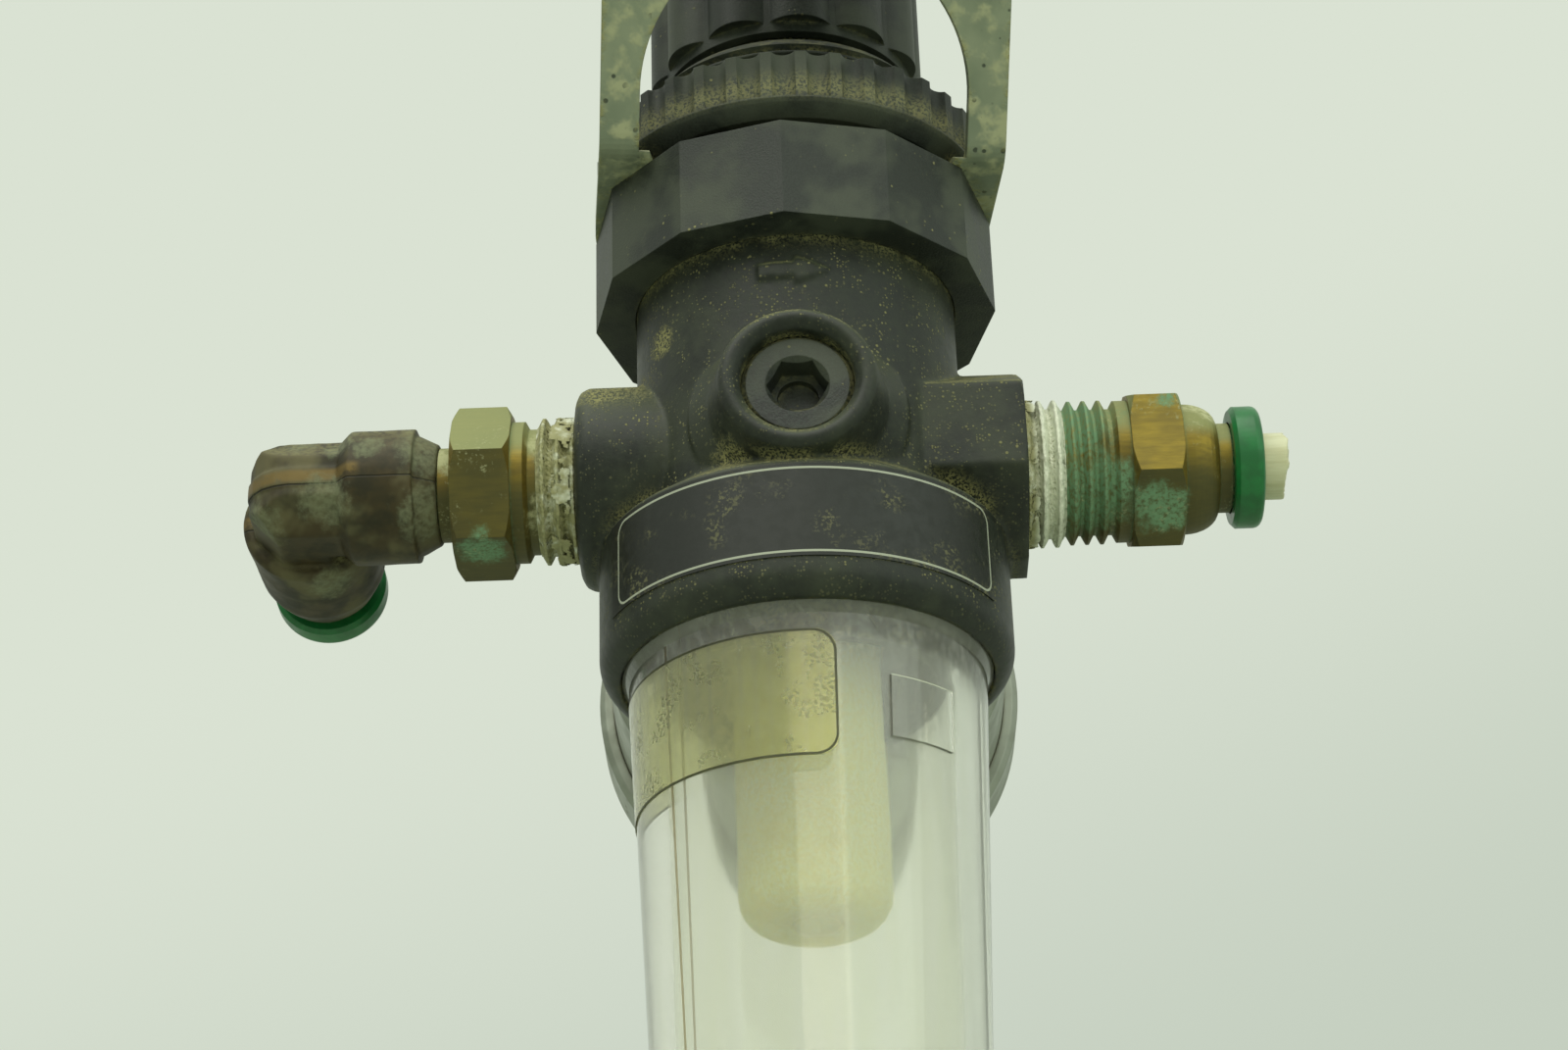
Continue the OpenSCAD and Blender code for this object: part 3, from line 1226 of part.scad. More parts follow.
module elbow_bars() {
    intersection() {
        to_front() translate([0, 0, -elbow_bar_af]) linear_extrude(2 * elbow_bar_af) elbow_front(elbow_bar_half);
        along_flow() octagonal_bar(elbow_bar_half, -elbow_bar_half, elbow_bar_half);
        to_back() octagonal_bar(elbow_bar_half, -elbow_bar_half, elbow_bar_half);
        translate([0, 0, -elbow_bar_half]) linear_extrude(elbow_bar_af)
            elbow_plan(elbow_bar_half, elbow_bar_half + over, elbow_bar_half + over);
    }
    along_flow() octagonal_bar(elbow_bar_half, -over, elbow_arm_len + over);
    to_back() octagonal_bar(elbow_bar_half, -over, elbow_sleeve_foot + over);
    translate([0, 0, flash_foot]) linear_extrude(flash_top - flash_foot)
        elbow_plan(elbow_bar_half + flash_rise, elbow_bar_half + over, elbow_bar_half + over);
}

module elbow_sleeve() to_back() turned([[0, elbow_sleeve_foot], [elbow_leg_d / 2 - chamfer, elbow_sleeve_foot],
    [elbow_leg_d / 2, elbow_sleeve_foot + chamfer],
    [elbow_leg_d / 2 - elbow_sleeve_fall, elbow_reach - neck_len - elbow_taper_h],
    [elbow_taper_r, elbow_reach - neck_len], [mouth_r, elbow_reach - neck_len], [mouth_r, elbow_reach],
    [0, elbow_reach]]);

module elbow_body() at_port() color("#6d5536") difference() {
    union() {
        translate([-port_half - elbow_axis, 0, 0]) {
            elbow_bars();
            elbow_sleeve();
        }
        translate([-port_half, 0, 0]) against_flow() turned([[0, elbow_start], [4.8, elbow_start],
            [elbow_swivel_d / 2 - 0.7, elbow_cone_end - 0.3], [elbow_swivel_d / 2 - 0.7, elbow_cone_end],
            [elbow_swivel_d / 2, elbow_cone_end], [elbow_swivel_d / 2, elbow_swivel_end - 1],
            [elbow_swivel_d / 2 - 1, elbow_swivel_end], [0, elbow_swivel_end]]);
    }
    translate([-port_half, 0, 0]) against_flow() {
        round_bar(spigot_r + run_gap, elbow_start - over, inlet_neck_end + spigot_len + slide_gap);
        round_bar(through_r, elbow_start, elbow_axis + through_r);
    }
    translate([-port_half - elbow_axis, elbow_reach, 0]) to_back() {
        socket_cut();
        round_bar(through_r, -elbow_reach - through_r, -stop_depth + over);
    }
}

module elbow_tube_seal() at_elbow_mouth() color("#161616") tube_seal();
module elbow_gripper() at_elbow_mouth() color("#c3c8c6") gripper();
module elbow_release_ring() at_elbow_mouth() color("#0f5a34") release_ring(elbow_ring_d);

// Tape laid into the thread, from the port face outwards
module tape(shank) intersection() {
    difference() {
        turned([for (p = fitting_thread(shank)) [p[0] == 0 ? 0 : p[0] + tape_t, p[1]]]);
        turned(fitting_thread(shank));
        round_bar(2, -thread_grip - over, shank + over);
    }
    round_bar(thread_d, slide_gap, tape_len);
}

module inlet_tape() at_port() color("#d9dccb") translate([-port_half, 0, 0]) against_flow() tape(inlet_shank);
module outlet_tape() at_port() color("#d9dccb") translate([port_half, 0, 0]) along_flow() tape(outlet_shank);

body();
body_label();
bonnet();
panel_nut();
bracket();
knob();
adjusting_screw();
spring_rest_nut();
range_spring();
slip_ring();
diaphragm();
pressure_plate();
relief_hub();
poppet();
poppet_seal();
valve_spring();
valve_guide();
guide_seal();
deflector();
filter_element();
bowl();
bowl_seal();
bowl_film();
drain_body();
drain_seal();
drain_nut();
drain_tap();
gauge_port_plug();
gauge_socket();
gauge_case();
gauge_bezel();
gauge_window();
gauge_dial();
gauge_pointer();
pointer_pinion();
sector_gear();
movement_plate();
bourdon_tube();
elbow_stem();
elbow_stem_seal();
elbow_body();
elbow_tube_seal();
elbow_gripper();
elbow_release_ring();
straight_body();
straight_tube_seal();
straight_gripper();
straight_release_ring();
tube_stub();
inlet_tape();
outlet_tape();
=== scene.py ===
"""Looks of a miniature compressed-air filter regulator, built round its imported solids.

Lengths are in metres in the solids' own frame: +Z runs up the main axis, +X is the direction of flow, and the
origin is the mouth of the drain. Patterns are sized in millimetres and turned to metres by MM.
"""
import logging
import math
from collections.abc import Callable
from dataclasses import dataclass, field
from enum import Enum

import bpy
from mathutils import Matrix, Vector, noise


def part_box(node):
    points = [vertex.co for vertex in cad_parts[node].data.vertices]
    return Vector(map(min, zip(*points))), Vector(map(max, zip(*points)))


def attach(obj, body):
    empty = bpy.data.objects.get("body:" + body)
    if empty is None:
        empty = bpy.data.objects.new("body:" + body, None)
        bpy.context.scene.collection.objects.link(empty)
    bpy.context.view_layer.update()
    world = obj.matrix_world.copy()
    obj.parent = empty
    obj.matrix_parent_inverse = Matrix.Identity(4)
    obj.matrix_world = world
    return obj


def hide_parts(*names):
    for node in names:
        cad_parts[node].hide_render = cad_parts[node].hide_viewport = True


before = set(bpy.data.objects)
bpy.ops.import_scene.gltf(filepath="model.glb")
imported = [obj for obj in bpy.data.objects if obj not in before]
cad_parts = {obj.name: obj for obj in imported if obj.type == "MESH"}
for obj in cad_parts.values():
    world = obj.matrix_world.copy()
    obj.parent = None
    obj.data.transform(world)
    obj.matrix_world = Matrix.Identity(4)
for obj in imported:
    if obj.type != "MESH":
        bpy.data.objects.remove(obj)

LOG = logging.getLogger("filter_regulator")
MM = 0.001
FRONT = 0.25  # share of a turn at which a radial gradient faces -Y, the front
MERGE = 1e-7  # metres within which two points become one
RAYS = 6  # rays that look for a corner or an edge
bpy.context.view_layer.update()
Socket = bpy.types.NodeSocket
Source = Socket | float | tuple | str


def linear(hex_colour: str) -> tuple[float, float, float, float]:
    """Turns an sRGB hex colour to the linear values that a shader takes.

    Args:
        hex_colour: "#rrggbb".

    Returns:
        Red, green, blue and an alpha of 1.
    """
    parts = [int(hex_colour[i:i + 2], 16) / 255 for i in (1, 3, 5)]
    red, green, blue = (c / 12.92 if c <= 0.04045 else ((c + 0.055) / 1.055) ** 2.4 for c in parts)
    return red, green, blue, 1.0


class Slot(Enum):
    """The record's material slots, by the finish that each takes."""
    DIE_CAST = "die_cast"
    LABEL_FILM = "label_film"
    BLACK_ACETAL = "black_acetal"
    ZINC_PLATED_STEEL = "zinc_plated_steel"
    STEEL = "steel"
    SPRING_STEEL = "spring_steel"
    BRIGHT_BRASS = "bright_brass"
    WORN_BRASS = "worn_brass"
    BROWN_BRASS = "brown_brass"
    PLATED_PLUG = "plated_plug"
    NITRILE = "nitrile"
    POROUS_PLASTIC = "porous_plastic"
    CLEAR_POLYCARBONATE = "clear_polycarbonate"
    CLEAR_FILM = "clear_film"
    GREEN_ACETAL = "green_acetal"
    NATURAL_TUBE = "natural_tube"
    PTFE_TAPE = "ptfe_tape"
    DULLED_NICKEL = "dulled_nickel"
    WHITE_DIAL = "white_dial"
    BLACK_POINTER = "black_pointer"
    GAUGE_GLASS = "gauge_glass"


class Blend(Enum):
    """Where the two-channel inputs and outputs of Blender's Mix node lie."""
    NUMBER = ("FLOAT", 2, 3, 0)
    COLOUR = ("RGBA", 6, 7, 2)


@dataclass
class Skin:
    """One state of a surface: constants, or sockets where it varies.

    Attributes:
        colour: sRGB hex value or a colour socket.
        roughness: 0 is polished, 1 is chalky.
        metallic: 1 is bare metal, 0 is none, and between them a thin film dulls the metal.
        relief: height of the surface in millimetres.
    """
    colour: Source
    roughness: Source
    metallic: Source = 0.0
    relief: Source = 0.0


@dataclass(frozen=True)
class Patch:
    """A place where something has settled or worn.

    Attributes:
        centre: its middle in millimetres, in the frame.
        reach: its radius in millimetres.
    """
    centre: tuple[float, float, float]
    reach: float


class Wiring:
    """A node tree that nodes are added to."""

    def __init__(self, owner: bpy.types.Material | bpy.types.World) -> None:
        """Empties a node tree.

        Args:
            owner: the material or the world that owns the tree.
        """
        owner.use_nodes = True
        self.tree = owner.node_tree
        self.tree.nodes.clear()

    def add(self, kind: str, sources: dict[int | str, Source], **settings: object) -> bpy.types.Node:
        """Adds a node.

        Args:
            kind: Blender's name of the node.
            sources: for each input, by name or number, its value, its hex colour or the socket that feeds it.
            settings: the node's own settings.

        Returns:
            The new node.
        """
        node = self.tree.nodes.new(kind)
        for key, value in settings.items():
            setattr(node, key, value)
        for key, source in sources.items():
            if isinstance(source, Socket):
                self.tree.links.new(source, node.inputs[key])
            else:
                node.inputs[key].default_value = linear(source) if isinstance(source, str) else source
        return node


class Board(Wiring):
    """The node tree of one material, and the patterns that its finishes share."""

    def __init__(self, name: str) -> None:
        """Makes an empty material.

        Args:
            name: name of the material.
        """
        self.material = bpy.data.materials.new(name)
        super().__init__(self.material)
        origin = self.add("ShaderNodeTexCoord", {}).outputs
        self.place, self.facing = origin["Object"], origin["Normal"]

    def ramp(self, source: Socket, low: float, high: float, start: float = 0.0, end: float = 1.0) -> Socket:
        """Rescales a value from low..high to start..end with soft ends.

        Args:
            source: the value.
            low: the value that gives start.
            high: the value that gives end.
            start: result at low.
            end: result at high.

        Returns:
            The rescaled value.
        """
        return self.add("ShaderNodeMapRange", {0: source, 1: low, 2: high, 3: start, 4: end},
                        interpolation_type="SMOOTHSTEP").outputs[0]

    def times(self, *factors: Source) -> Socket:
        """Multiplies masks together and keeps the product between 0 and 1.

        Args:
            factors: the masks and shares.

        Returns:
            The product.
        """
        product = factors[0]
        for factor in factors[1:]:
            node = self.add("ShaderNodeMath", {0: product, 1: factor}, operation="MULTIPLY", use_clamp=True)
            product = node.outputs[0]
        return product

    def either(self, *masks: Source) -> Socket:
        """Gives the greatest of some masks.

        Args:
            masks: the masks.

        Returns:
            The greatest.
        """
        greatest = masks[0]
        for mask in masks[1:]:
            greatest = self.add("ShaderNodeMath", {0: greatest, 1: mask}, operation="MAXIMUM").outputs[0]
        return greatest

    def mottle(self, size: float, low: float = 0.4, high: float = 0.6, stretch: tuple = (1, 1, 1),
               shift: float = 0.0, detail: float = 3.0) -> Socket:
        """Gives soft irregular patches.

        Args:
            size: distance between patches in millimetres.
            low: noise level at which a patch starts.
            high: noise level at which it is full.
            stretch: scale of the pattern along each axis; a small number draws it out.
            shift: offset in millimetres, so that two patterns of one size differ.
            detail: octaves of finer noise on the patches.

        Returns:
            0 between patches, 1 inside them.
        """
        moved = self.add("ShaderNodeMapping", {
            "Vector": self.place, "Location": (shift * MM,) * 3, "Scale": stretch}).outputs[0]
        cloud = self.add("ShaderNodeTexNoise", {
            "Vector": moved, "Scale": 1 / (size * MM), "Detail": detail, "Roughness": 0.6}).outputs[0]
        return self.ramp(cloud, low, high)

    def grains(self, size: float, cover: float) -> Socket:
        """Gives separate round grains, as settled dust is.

        Args:
            size: distance between grains in millimetres.
            cover: share of the distance that the largest grain fills.

        Returns:
            1 on a grain, 0 between grains.
        """
        cells = self.add("ShaderNodeTexVoronoi", {
            "Vector": self.place, "Scale": 1 / (size * MM), "Randomness": 1.0}).outputs
        girth = self.add("ShaderNodeSeparateColor", {0: cells["Color"]}).outputs[0]
        reach = self.ramp(girth, 0.35, 1.0, 0.0, cover)
        gap = self.add("ShaderNodeMath", {0: reach, 1: cells["Distance"]}, operation="SUBTRACT").outputs[0]
        return self.ramp(gap, 0.0, 0.12)

    def patch(self, spot: Patch) -> Socket:
        """Gives a frayed round patch.

        Args:
            spot: where it lies.

        Returns:
            1 inside the patch.
        """
        centre = tuple(part * MM for part in spot.centre)
        reach = spot.reach * MM
        apart = self.add("ShaderNodeVectorMath", {0: self.place, 1: centre}, operation="DISTANCE")
        fray = self.add("ShaderNodeTexNoise", {
            "Vector": self.place, "Scale": 1.6 / reach, "Detail": 5.0, "Roughness": 0.7}).outputs[0]
        worn = self.add("ShaderNodeMath", {0: fray, 1: 1.6 * reach, 2: apart.outputs["Value"]},
                        operation="MULTIPLY_ADD").outputs[0]
        return self.ramp(worn, 1.8 * reach, 1.3 * reach)

    def patches(self, spots: tuple[Patch, ...]) -> Source:
        """Gives 1 inside any of some patches."""
        return self.either(*(self.patch(spot) for spot in spots)) if spots else 0.0

    def along(self, axis: int) -> Socket:
        """Gives the place along an axis: 0 is X, and 2 is Z, the height above the drain mouth."""
        return self.add("ShaderNodeSeparateXYZ", {0: self.place}).outputs[axis]

    def turn(self) -> Socket:
        """Gives the angle round the main axis, as a share of a whole turn."""
        return self.add("ShaderNodeTexGradient", {0: self.place}, gradient_type="RADIAL").outputs["Fac"]

    def band(self, low: float, high: float, soft: float) -> Socket:
        """Gives 1 between two heights.

        Args:
            low: lower height in millimetres above the drain mouth.
            high: upper height.
            soft: distance over which it fades, inwards.

        Returns:
            The mask.
        """
        height = self.along(2)
        above = self.ramp(height, low * MM, (low + soft) * MM)
        below = self.ramp(height, high * MM, (high - soft) * MM)
        return self.times(above, below)

    def ledge(self, low: float = 0.1, high: float = 0.8) -> Socket:
        """Gives 1 where a face looks up, so that dust can lie on it."""
        up = self.add("ShaderNodeSeparateXYZ", {0: self.facing}).outputs[2]
        return self.ramp(up, low, high)

    def crevice(self, reach: float, low: float = 0.25, high: float = 0.7) -> Socket:
        """Gives 1 in corners that a cloth doesn't reach.

        Args:
            reach: how far from a corner the grime still lies, in millimetres.
            low: share of the sky that is hidden where grime starts.
            high: share that is hidden where it is thick.

        Returns:
            The mask.
        """
        sky = self.add("ShaderNodeAmbientOcclusion", {"Distance": reach * MM}, samples=RAYS)
        return self.ramp(sky.outputs["AO"], 1 - low, 1 - high)

    def edge(self, reach: float, low: float = 0.18, high: float = 0.45) -> Socket:
        """Gives 1 on outer edges, where handling rubs first."""
        thin = self.add("ShaderNodeAmbientOcclusion", {"Distance": reach * MM}, samples=RAYS, inside=True)
        return self.ramp(thin.outputs["AO"], 1 - low, 1 - high)

    def laid(self, under: Skin, over: Skin, mask: Socket) -> Skin:
        """Lays one skin on another.

        Args:
            under: the skin below.
            over: the skin on top.
            mask: 1 where the upper skin covers the lower one.

        Returns:
            The skin that shows.
        """
        made = {}
        for channel in ("colour", "roughness", "metallic", "relief"):
            kind, first, second, result = (Blend.COLOUR if channel == "colour" else Blend.NUMBER).value
            low, high = getattr(under, channel), getattr(over, channel)
            made[channel] = low if low == high else self.add(
                "ShaderNodeMix", {0: mask, first: low, second: high}, data_type=kind).outputs[result]
        return Skin(**made)

    def close(self, skin: Skin, soft_edge: float = 0.0, **shader: float | tuple) -> bpy.types.Material:
        """Joins a skin to the shader and ends the material.

        Args:
            skin: the finished skin.
            soft_edge: radius in millimetres that outer edges seem rounded to.
            shader: constants of the shader by socket name, with _ for a space.

        Returns:
            The material.
        """
        facing = {}
        if soft_edge:
            rounded = self.add("ShaderNodeBevel", {"Radius": soft_edge * MM}, samples=4)
            facing = {"Normal": rounded.outputs[0]}
        if isinstance(skin.relief, Socket):
            bumps = self.add("ShaderNodeBump", {
                "Height": skin.relief, "Distance": MM, "Strength": 1.0, **facing})
            facing = {"Normal": bumps.outputs[0]}
        sockets = {name.replace("_", " "): value for name, value in shader.items()}
        body = self.add("ShaderNodeBsdfPrincipled", {
            "Base Color": skin.colour, "Roughness": skin.roughness, "Metallic": skin.metallic,
            **sockets, **facing})
        self.add("ShaderNodeOutputMaterial", {0: body.outputs[0]})
        return self.material


@dataclass(frozen=True)
class Finish:
    """What a surface is made of and how it was worked.

    Attributes:
        name: the real material and process.
        soft_edge: radius in millimetres that its edges are broken to.
    """
    name: str
    soft_edge: float = 0.15

    def skin(self, board: Board) -> Skin:
        """Gives the surface's own look, before wear."""
        raise NotImplementedError

    def shader(self) -> dict[str, float | tuple]:
        """Gives the constants of the shader."""
        return {}

    def material(self) -> bpy.types.Material:
        """Builds the finish as a material."""
        board = Board(self.name)
        return board.close(self.skin(board), self.soft_edge, **self.shader())


@dataclass(frozen=True)
class PaintedDieCasting(Finish):
    """Zinc die casting under baked satin black paint: even, faintly rippled, olive dust where none wipes it.

    Attributes:
        paint: colour of the paint.
        dust: colour of the dust.
        roughness: how matt the paint is.
        drifts: where dust has heaped up.
    """
    paint: str = "#161a15"
    dust: str = "#86835a"
    roughness: float = 0.44
    drifts: tuple[Patch, ...] = ()

    def skin(self, board: Board) -> Skin:
        """Lays dust and handling marks on the paint.

        Args:
            board: the board of the material.

        Returns:
            The finished skin.
        """
        ripple = board.mottle(0.9, 0.3, 0.7)
        paint = board.laid(Skin(self.paint, self.roughness), Skin("#22271f", 0.52, 0.0, 0.012), ripple)
        wiped = board.times(board.mottle(9, 0.46, 0.66), 0.4)
        film = board.times(board.either(wiped, board.ledge(0.05, 0.6)), 0.5)
        hazy = board.laid(paint, Skin("#4e543f", 0.62), film)
        rest = board.either(board.ledge(0.3, 0.9), board.crevice(2.6, 0.2, 0.6))
        heaped = board.times(rest, board.mottle(3.2, 0.34, 0.58, shift=5))
        # a grain of dust is about 0.05 mm; here and in the other finishes it is drawn coarser, so that it shows
        loose = board.mottle(0.24, 0.4, 0.57, detail=2)
        lying = board.times(board.either(heaped, board.patches(self.drifts)), loose)
        fine = board.times(board.grains(0.26, 0.5), board.mottle(2.2, 0.42, 0.66, shift=4))
        coarse = board.times(board.grains(0.5, 0.36), board.mottle(5, 0.46, 0.66, shift=9))
        strewn = board.times(board.either(fine, coarse), board.either(board.ledge(-0.5, 0.3), 0.25))
        return board.laid(hazy, Skin(self.dust, 0.95, 0.0, 0.05), board.either(lying, strewn))

    def shader(self) -> dict[str, float | tuple]:
        """Keeps the baked paint's shine low."""
        return {"Specular_IOR_Level": 0.4}


@dataclass(frozen=True)
class MouldedAcetal(Finish):
    """Injection-moulded black acetal: a fine spark-eroded grain, a little waxy, dust in its roots.

    Attributes:
        plastic: colour of the plastic.
        dust: colour of the dust.
        roughness: how matt the plastic is.
        dust_share: how much of the dust has stayed.
        nut: lower and upper height of the panel nut's hollows, in millimetres.
        settled: heights between which the dust in them thickens, downwards.
    """
    plastic: str = "#1c201c"
    dust: str = "#8b885f"
    roughness: float = 0.46
    dust_share: float = 0.8
    nut: tuple[float, float] = (116.6, 122.0)
    settled: tuple[float, float] = (121.5, 117.2)

    def skin(self, board: Board) -> Skin:
        """Lays dust in the corners of the grained plastic.

        Args:
            board: the board of the material.

        Returns:
            The finished skin.
        """
        # the spark-eroded grain is about 0.05 mm and is drawn coarser, so that it shows
        grain = board.mottle(0.22, 0.35, 0.65, detail=1)
        pitted = Skin("#252a26", self.roughness + 0.08, 0.0, 0.008)
        plastic = board.laid(Skin(self.plastic, self.roughness), pitted, grain)
        haze = board.times(board.either(board.mottle(8, 0.4, 0.6), self.hollows(board)), 0.32)
        hazed = board.laid(plastic, Skin("#5b6151", 0.75), haze)
        rest = board.either(board.times(board.ledge(0.2, 0.9), 0.7), board.crevice(1.6, 0.3, 0.75))
        heaped = board.either(board.times(rest, board.mottle(2.2, 0.36, 0.6, shift=3)), self.hollows(board))
        lying = board.times(heaped, board.mottle(0.28, 0.36, 0.58, detail=2), self.dust_share)
        strewn = board.times(board.grains(0.6, 0.32), board.mottle(3.6, 0.5, 0.68), self.dust_share)
        return board.laid(hazed, Skin(self.dust, 0.95, 0.0, 0.04), board.either(lying, strewn))

    def shader(self) -> dict[str, float | tuple]:
        """Keeps the waxy shine low."""
        return {"Specular_IOR_Level": 0.44}

    def hollows(self, board: Board) -> Socket:
        """Gives 1 low down in the panel nut's hollows, on the rim that closes them."""
        top, foot = self.settled
        return board.times(board.band(*self.nut, 2.4), board.ramp(board.along(2), top * MM, foot * MM))


@dataclass(frozen=True)
class ZincPlatedSteel(Finish):
    """Pressed mild steel, zinc plated: dulled to grey-green, with white bloom, dark spots and caked dust."""

    def skin(self, board: Board) -> Skin:
        """Lays bloom, spots and caked dust on the dulled plating.

        Args:
            board: the board of the material.

        Returns:
            The finished skin.
        """
        drawn = board.mottle(7, 0.35, 0.65, stretch=(1, 1, 0.5))
        plating = board.laid(Skin("#8c937e", 0.5, 0.45), Skin("#78816f", 0.44, 0.5), drawn)
        bloom = board.laid(plating, Skin("#a0a384", 0.85, 0.1, 0.02), board.mottle(2.6, 0.46, 0.64, shift=4))
        spots = board.times(board.grains(0.9, 0.4), board.mottle(5, 0.42, 0.6))
        pitted = board.laid(bloom, Skin("#434a3f", 0.7, 0.2, -0.02), spots)
        held = board.either(board.crevice(2.5, 0.2, 0.6), board.edge(1.0))
        caked = board.times(held, board.mottle(3.5, 0.4, 0.6, shift=8), board.mottle(0.5, 0.35, 0.6))
        return board.laid(pitted, Skin("#8d8a58", 0.95, 0.0, 0.08), board.times(caked, 0.85))


@dataclass(frozen=True)
class AgedBrass(Finish):
    """Turned brass left in a damp shop: dull gold where handled, brown between, turquoise in its roots.

    Attributes:
        metal: colour of the bare metal.
        tarnish: colour of its tarnish.
        verdigris: colour of its green salts.
        greens: where the green salts lie.
        drifts: where pale dust has caked.
    """
    metal: str = "#8f7b34"
    tarnish: str = "#4a4128"
    verdigris: str = "#6a8d6c"
    greens: tuple[Patch, ...] = ()
    drifts: tuple[Patch, ...] = ()

    def skin(self, board: Board) -> Skin:
        """Lays tarnish, painted shade on faces that look down, verdigris, dust and pale salts on the metal.

        Args:
            board: the board of the material.

        Returns:
            The finished skin.
        """
        # turning marks lie about 0.1 mm apart and are drawn coarser, so that they show
        scored = board.mottle(0.5, 0.3, 0.7, stretch=(0.15, 1, 1))
        metal = board.laid(Skin(self.metal, 0.42, 0.85), Skin("#7b6a30", 0.48, 0.8, 0.006), scored)
        stained = board.times(board.mottle(8, 0.42, 0.7, shift=2), 0.5)
        brown = board.laid(metal, Skin(self.tarnish, 0.6, 0.4), stained)
        # faces that look down are painted darker olive: this is painted shade, not tarnish
        under = board.laid(brown, Skin("#3e4026", 0.6, 0.3), board.times(board.ledge(-0.15, -0.6), 0.8))
        filmed = board.laid(under, Skin("#858b5c", 0.7, 0.1), board.times(board.ledge(0.0, 0.3), 0.85))
        spread = board.either(board.times(board.crevice(1.0, 0.3, 0.7), 0.8), board.patches(self.greens))
        green = board.times(spread, board.mottle(0.4, 0.2, 0.6, shift=3))
        salted = board.laid(filmed, Skin(self.verdigris, 0.85, 0.05, 0.02), green)
        flecks = board.times(board.mottle(0.4, 0.54, 0.7, shift=6), board.mottle(4, 0.5, 0.66, shift=1), 0.6)
        chalky = board.times(board.patches(self.drifts), board.mottle(0.6, 0.3, 0.52, shift=2))
        return board.laid(salted, Skin("#a9aa83", 0.95, 0.0, 0.04), board.either(flecks, chalky))


@dataclass(frozen=True)
class ForgedBrass(Finish):
    """Hot-forged brass with its oxide left on: dark brown and smooth, golden along the flash, grey salts.

    Attributes:
        crusts: where the salts lie.
        flash: lower and upper height of the trimmed flash, in millimetres.
        flash_end: where the flash ends along X.
        parting: half the width of the dark line painted below it as its shadow, which also lies in a shallow
            groove.
    """
    crusts: tuple[Patch, ...] = ()
    flash: tuple[float, float] = (85.05, 86.85)
    flash_end: float = -42.0
    parting: float = 0.12

    def skin(self, board: Board) -> Skin:
        """Lays rubbed metal, a painted shadow line under the flash, salts and dust on the oxide.

        Args:
            board: the board of the material.

        Returns:
            The finished skin.
        """
        scale = board.mottle(3.2, 0.36, 0.64)
        oxide = board.laid(Skin("#3e341d", 0.5, 0.4), Skin("#2a2616", 0.58, 0.35, 0.01), scale)
        grime = board.times(board.mottle(5, 0.44, 0.66, shift=7), 0.6)
        grimed = board.laid(oxide, Skin("#6a6547", 0.8, 0.1), grime)
        outer = board.ramp(board.along(0), (self.flash_end + 1) * MM, self.flash_end * MM)
        trimmed = board.times(board.band(*self.flash, 0.6), outer, 0.8)
        handled = board.either(board.times(board.edge(0.5), 0.5), trimmed)
        bare = board.times(handled, board.mottle(1.6, 0.28, 0.5))
        rubbed = board.laid(grimed, Skin("#705c30", 0.46, 0.5), bare)
        # the dark line along the flash's lower edge is painted shadow, the shade under the flash, over a
        # shallow groove in the relief
        line = board.band(self.flash[0] - self.parting, self.flash[0] + self.parting, 0.1)
        flash_shadowed = board.laid(rubbed, Skin("#1f1b10", 0.8, 0.0, -0.06), line)
        grey = board.times(board.patches(self.crusts), board.mottle(0.6, 0.1, 0.75), 0.75)
        salted = board.laid(flash_shadowed, Skin("#787d63", 0.92, 0.0, 0.03), grey)
        held = board.either(board.crevice(1.6, 0.3, 0.7), board.times(board.ledge(0.3, 0.9), 0.7))
        dust = board.times(held, board.mottle(0.5, 0.36, 0.6), 0.8)
        return board.laid(salted, Skin("#86835c", 0.95, 0.0, 0.03), dust)


@dataclass(frozen=True)
class BrightMetal(Finish):
    """Machined metal inside the body, kept clean: fine turning lines and a dull shine.

    Attributes:
        metal: colour of the metal.
        roughness: how dull its shine is.
    """
    metal: str = "#b08d57"
    roughness: float = 0.28

    def skin(self, board: Board) -> Skin:
        """Varies the shine with the turning lines and old oil.

        Args:
            board: the board of the material.

        Returns:
            The finished skin.
        """
        # turning lines lie about 0.1 mm apart and are drawn coarser, so that they show
        lines = board.mottle(0.4, 0.3, 0.7, stretch=(0.2, 0.2, 1))
        groove = Skin(self.metal, self.roughness + 0.14, 1.0, 0.004)
        metal = board.laid(Skin(self.metal, self.roughness, 1.0), groove, lines)
        return board.laid(metal, Skin("#4c4636", 0.5, 0.7), board.times(board.mottle(5, 0.56, 0.72), 0.6))


@dataclass(frozen=True)
class NitrileRubber(Finish):
    """Moulded nitrile: dead black, faintly bloomed and matt."""

    def skin(self, board: Board) -> Skin:
        """Lays a grey bloom on the rubber."""
        return board.laid(Skin("#131413", 0.6), Skin("#2a2c2a", 0.78, 0.0, 0.01), board.mottle(1.8, 0.4, 0.7))


@dataclass(frozen=True)
class SinteredPolyethylene(Finish):
    """Sintered polyethylene beads: cream, open-grained, soft to light, browner where oil has wicked."""

    def skin(self, board: Board) -> Skin:
        """Lays beads and oil marks on the plastic.

        Args:
            board: the board of the material.

        Returns:
            The finished skin.
        """
        # the beads are about 0.15 mm and are drawn coarser, so that they show
        beads = board.mottle(0.35, 0.3, 0.7, detail=1)
        plastic = board.laid(Skin("#ffe592", 0.7), Skin("#fff0b0", 0.65, 0.0, 0.03), beads)
        return board.laid(plastic, Skin("#e8d27c", 0.7), board.times(board.mottle(7, 0.5, 0.74), 0.6))

    def shader(self) -> dict[str, float | tuple]:
        """Lets light soak a little way into the beads."""
        reach = (9 * MM, 7.5 * MM, 4 * MM)
        return {"Subsurface_Weight": 1.0, "Subsurface_Radius": reach, "Subsurface_Scale": 1.0}


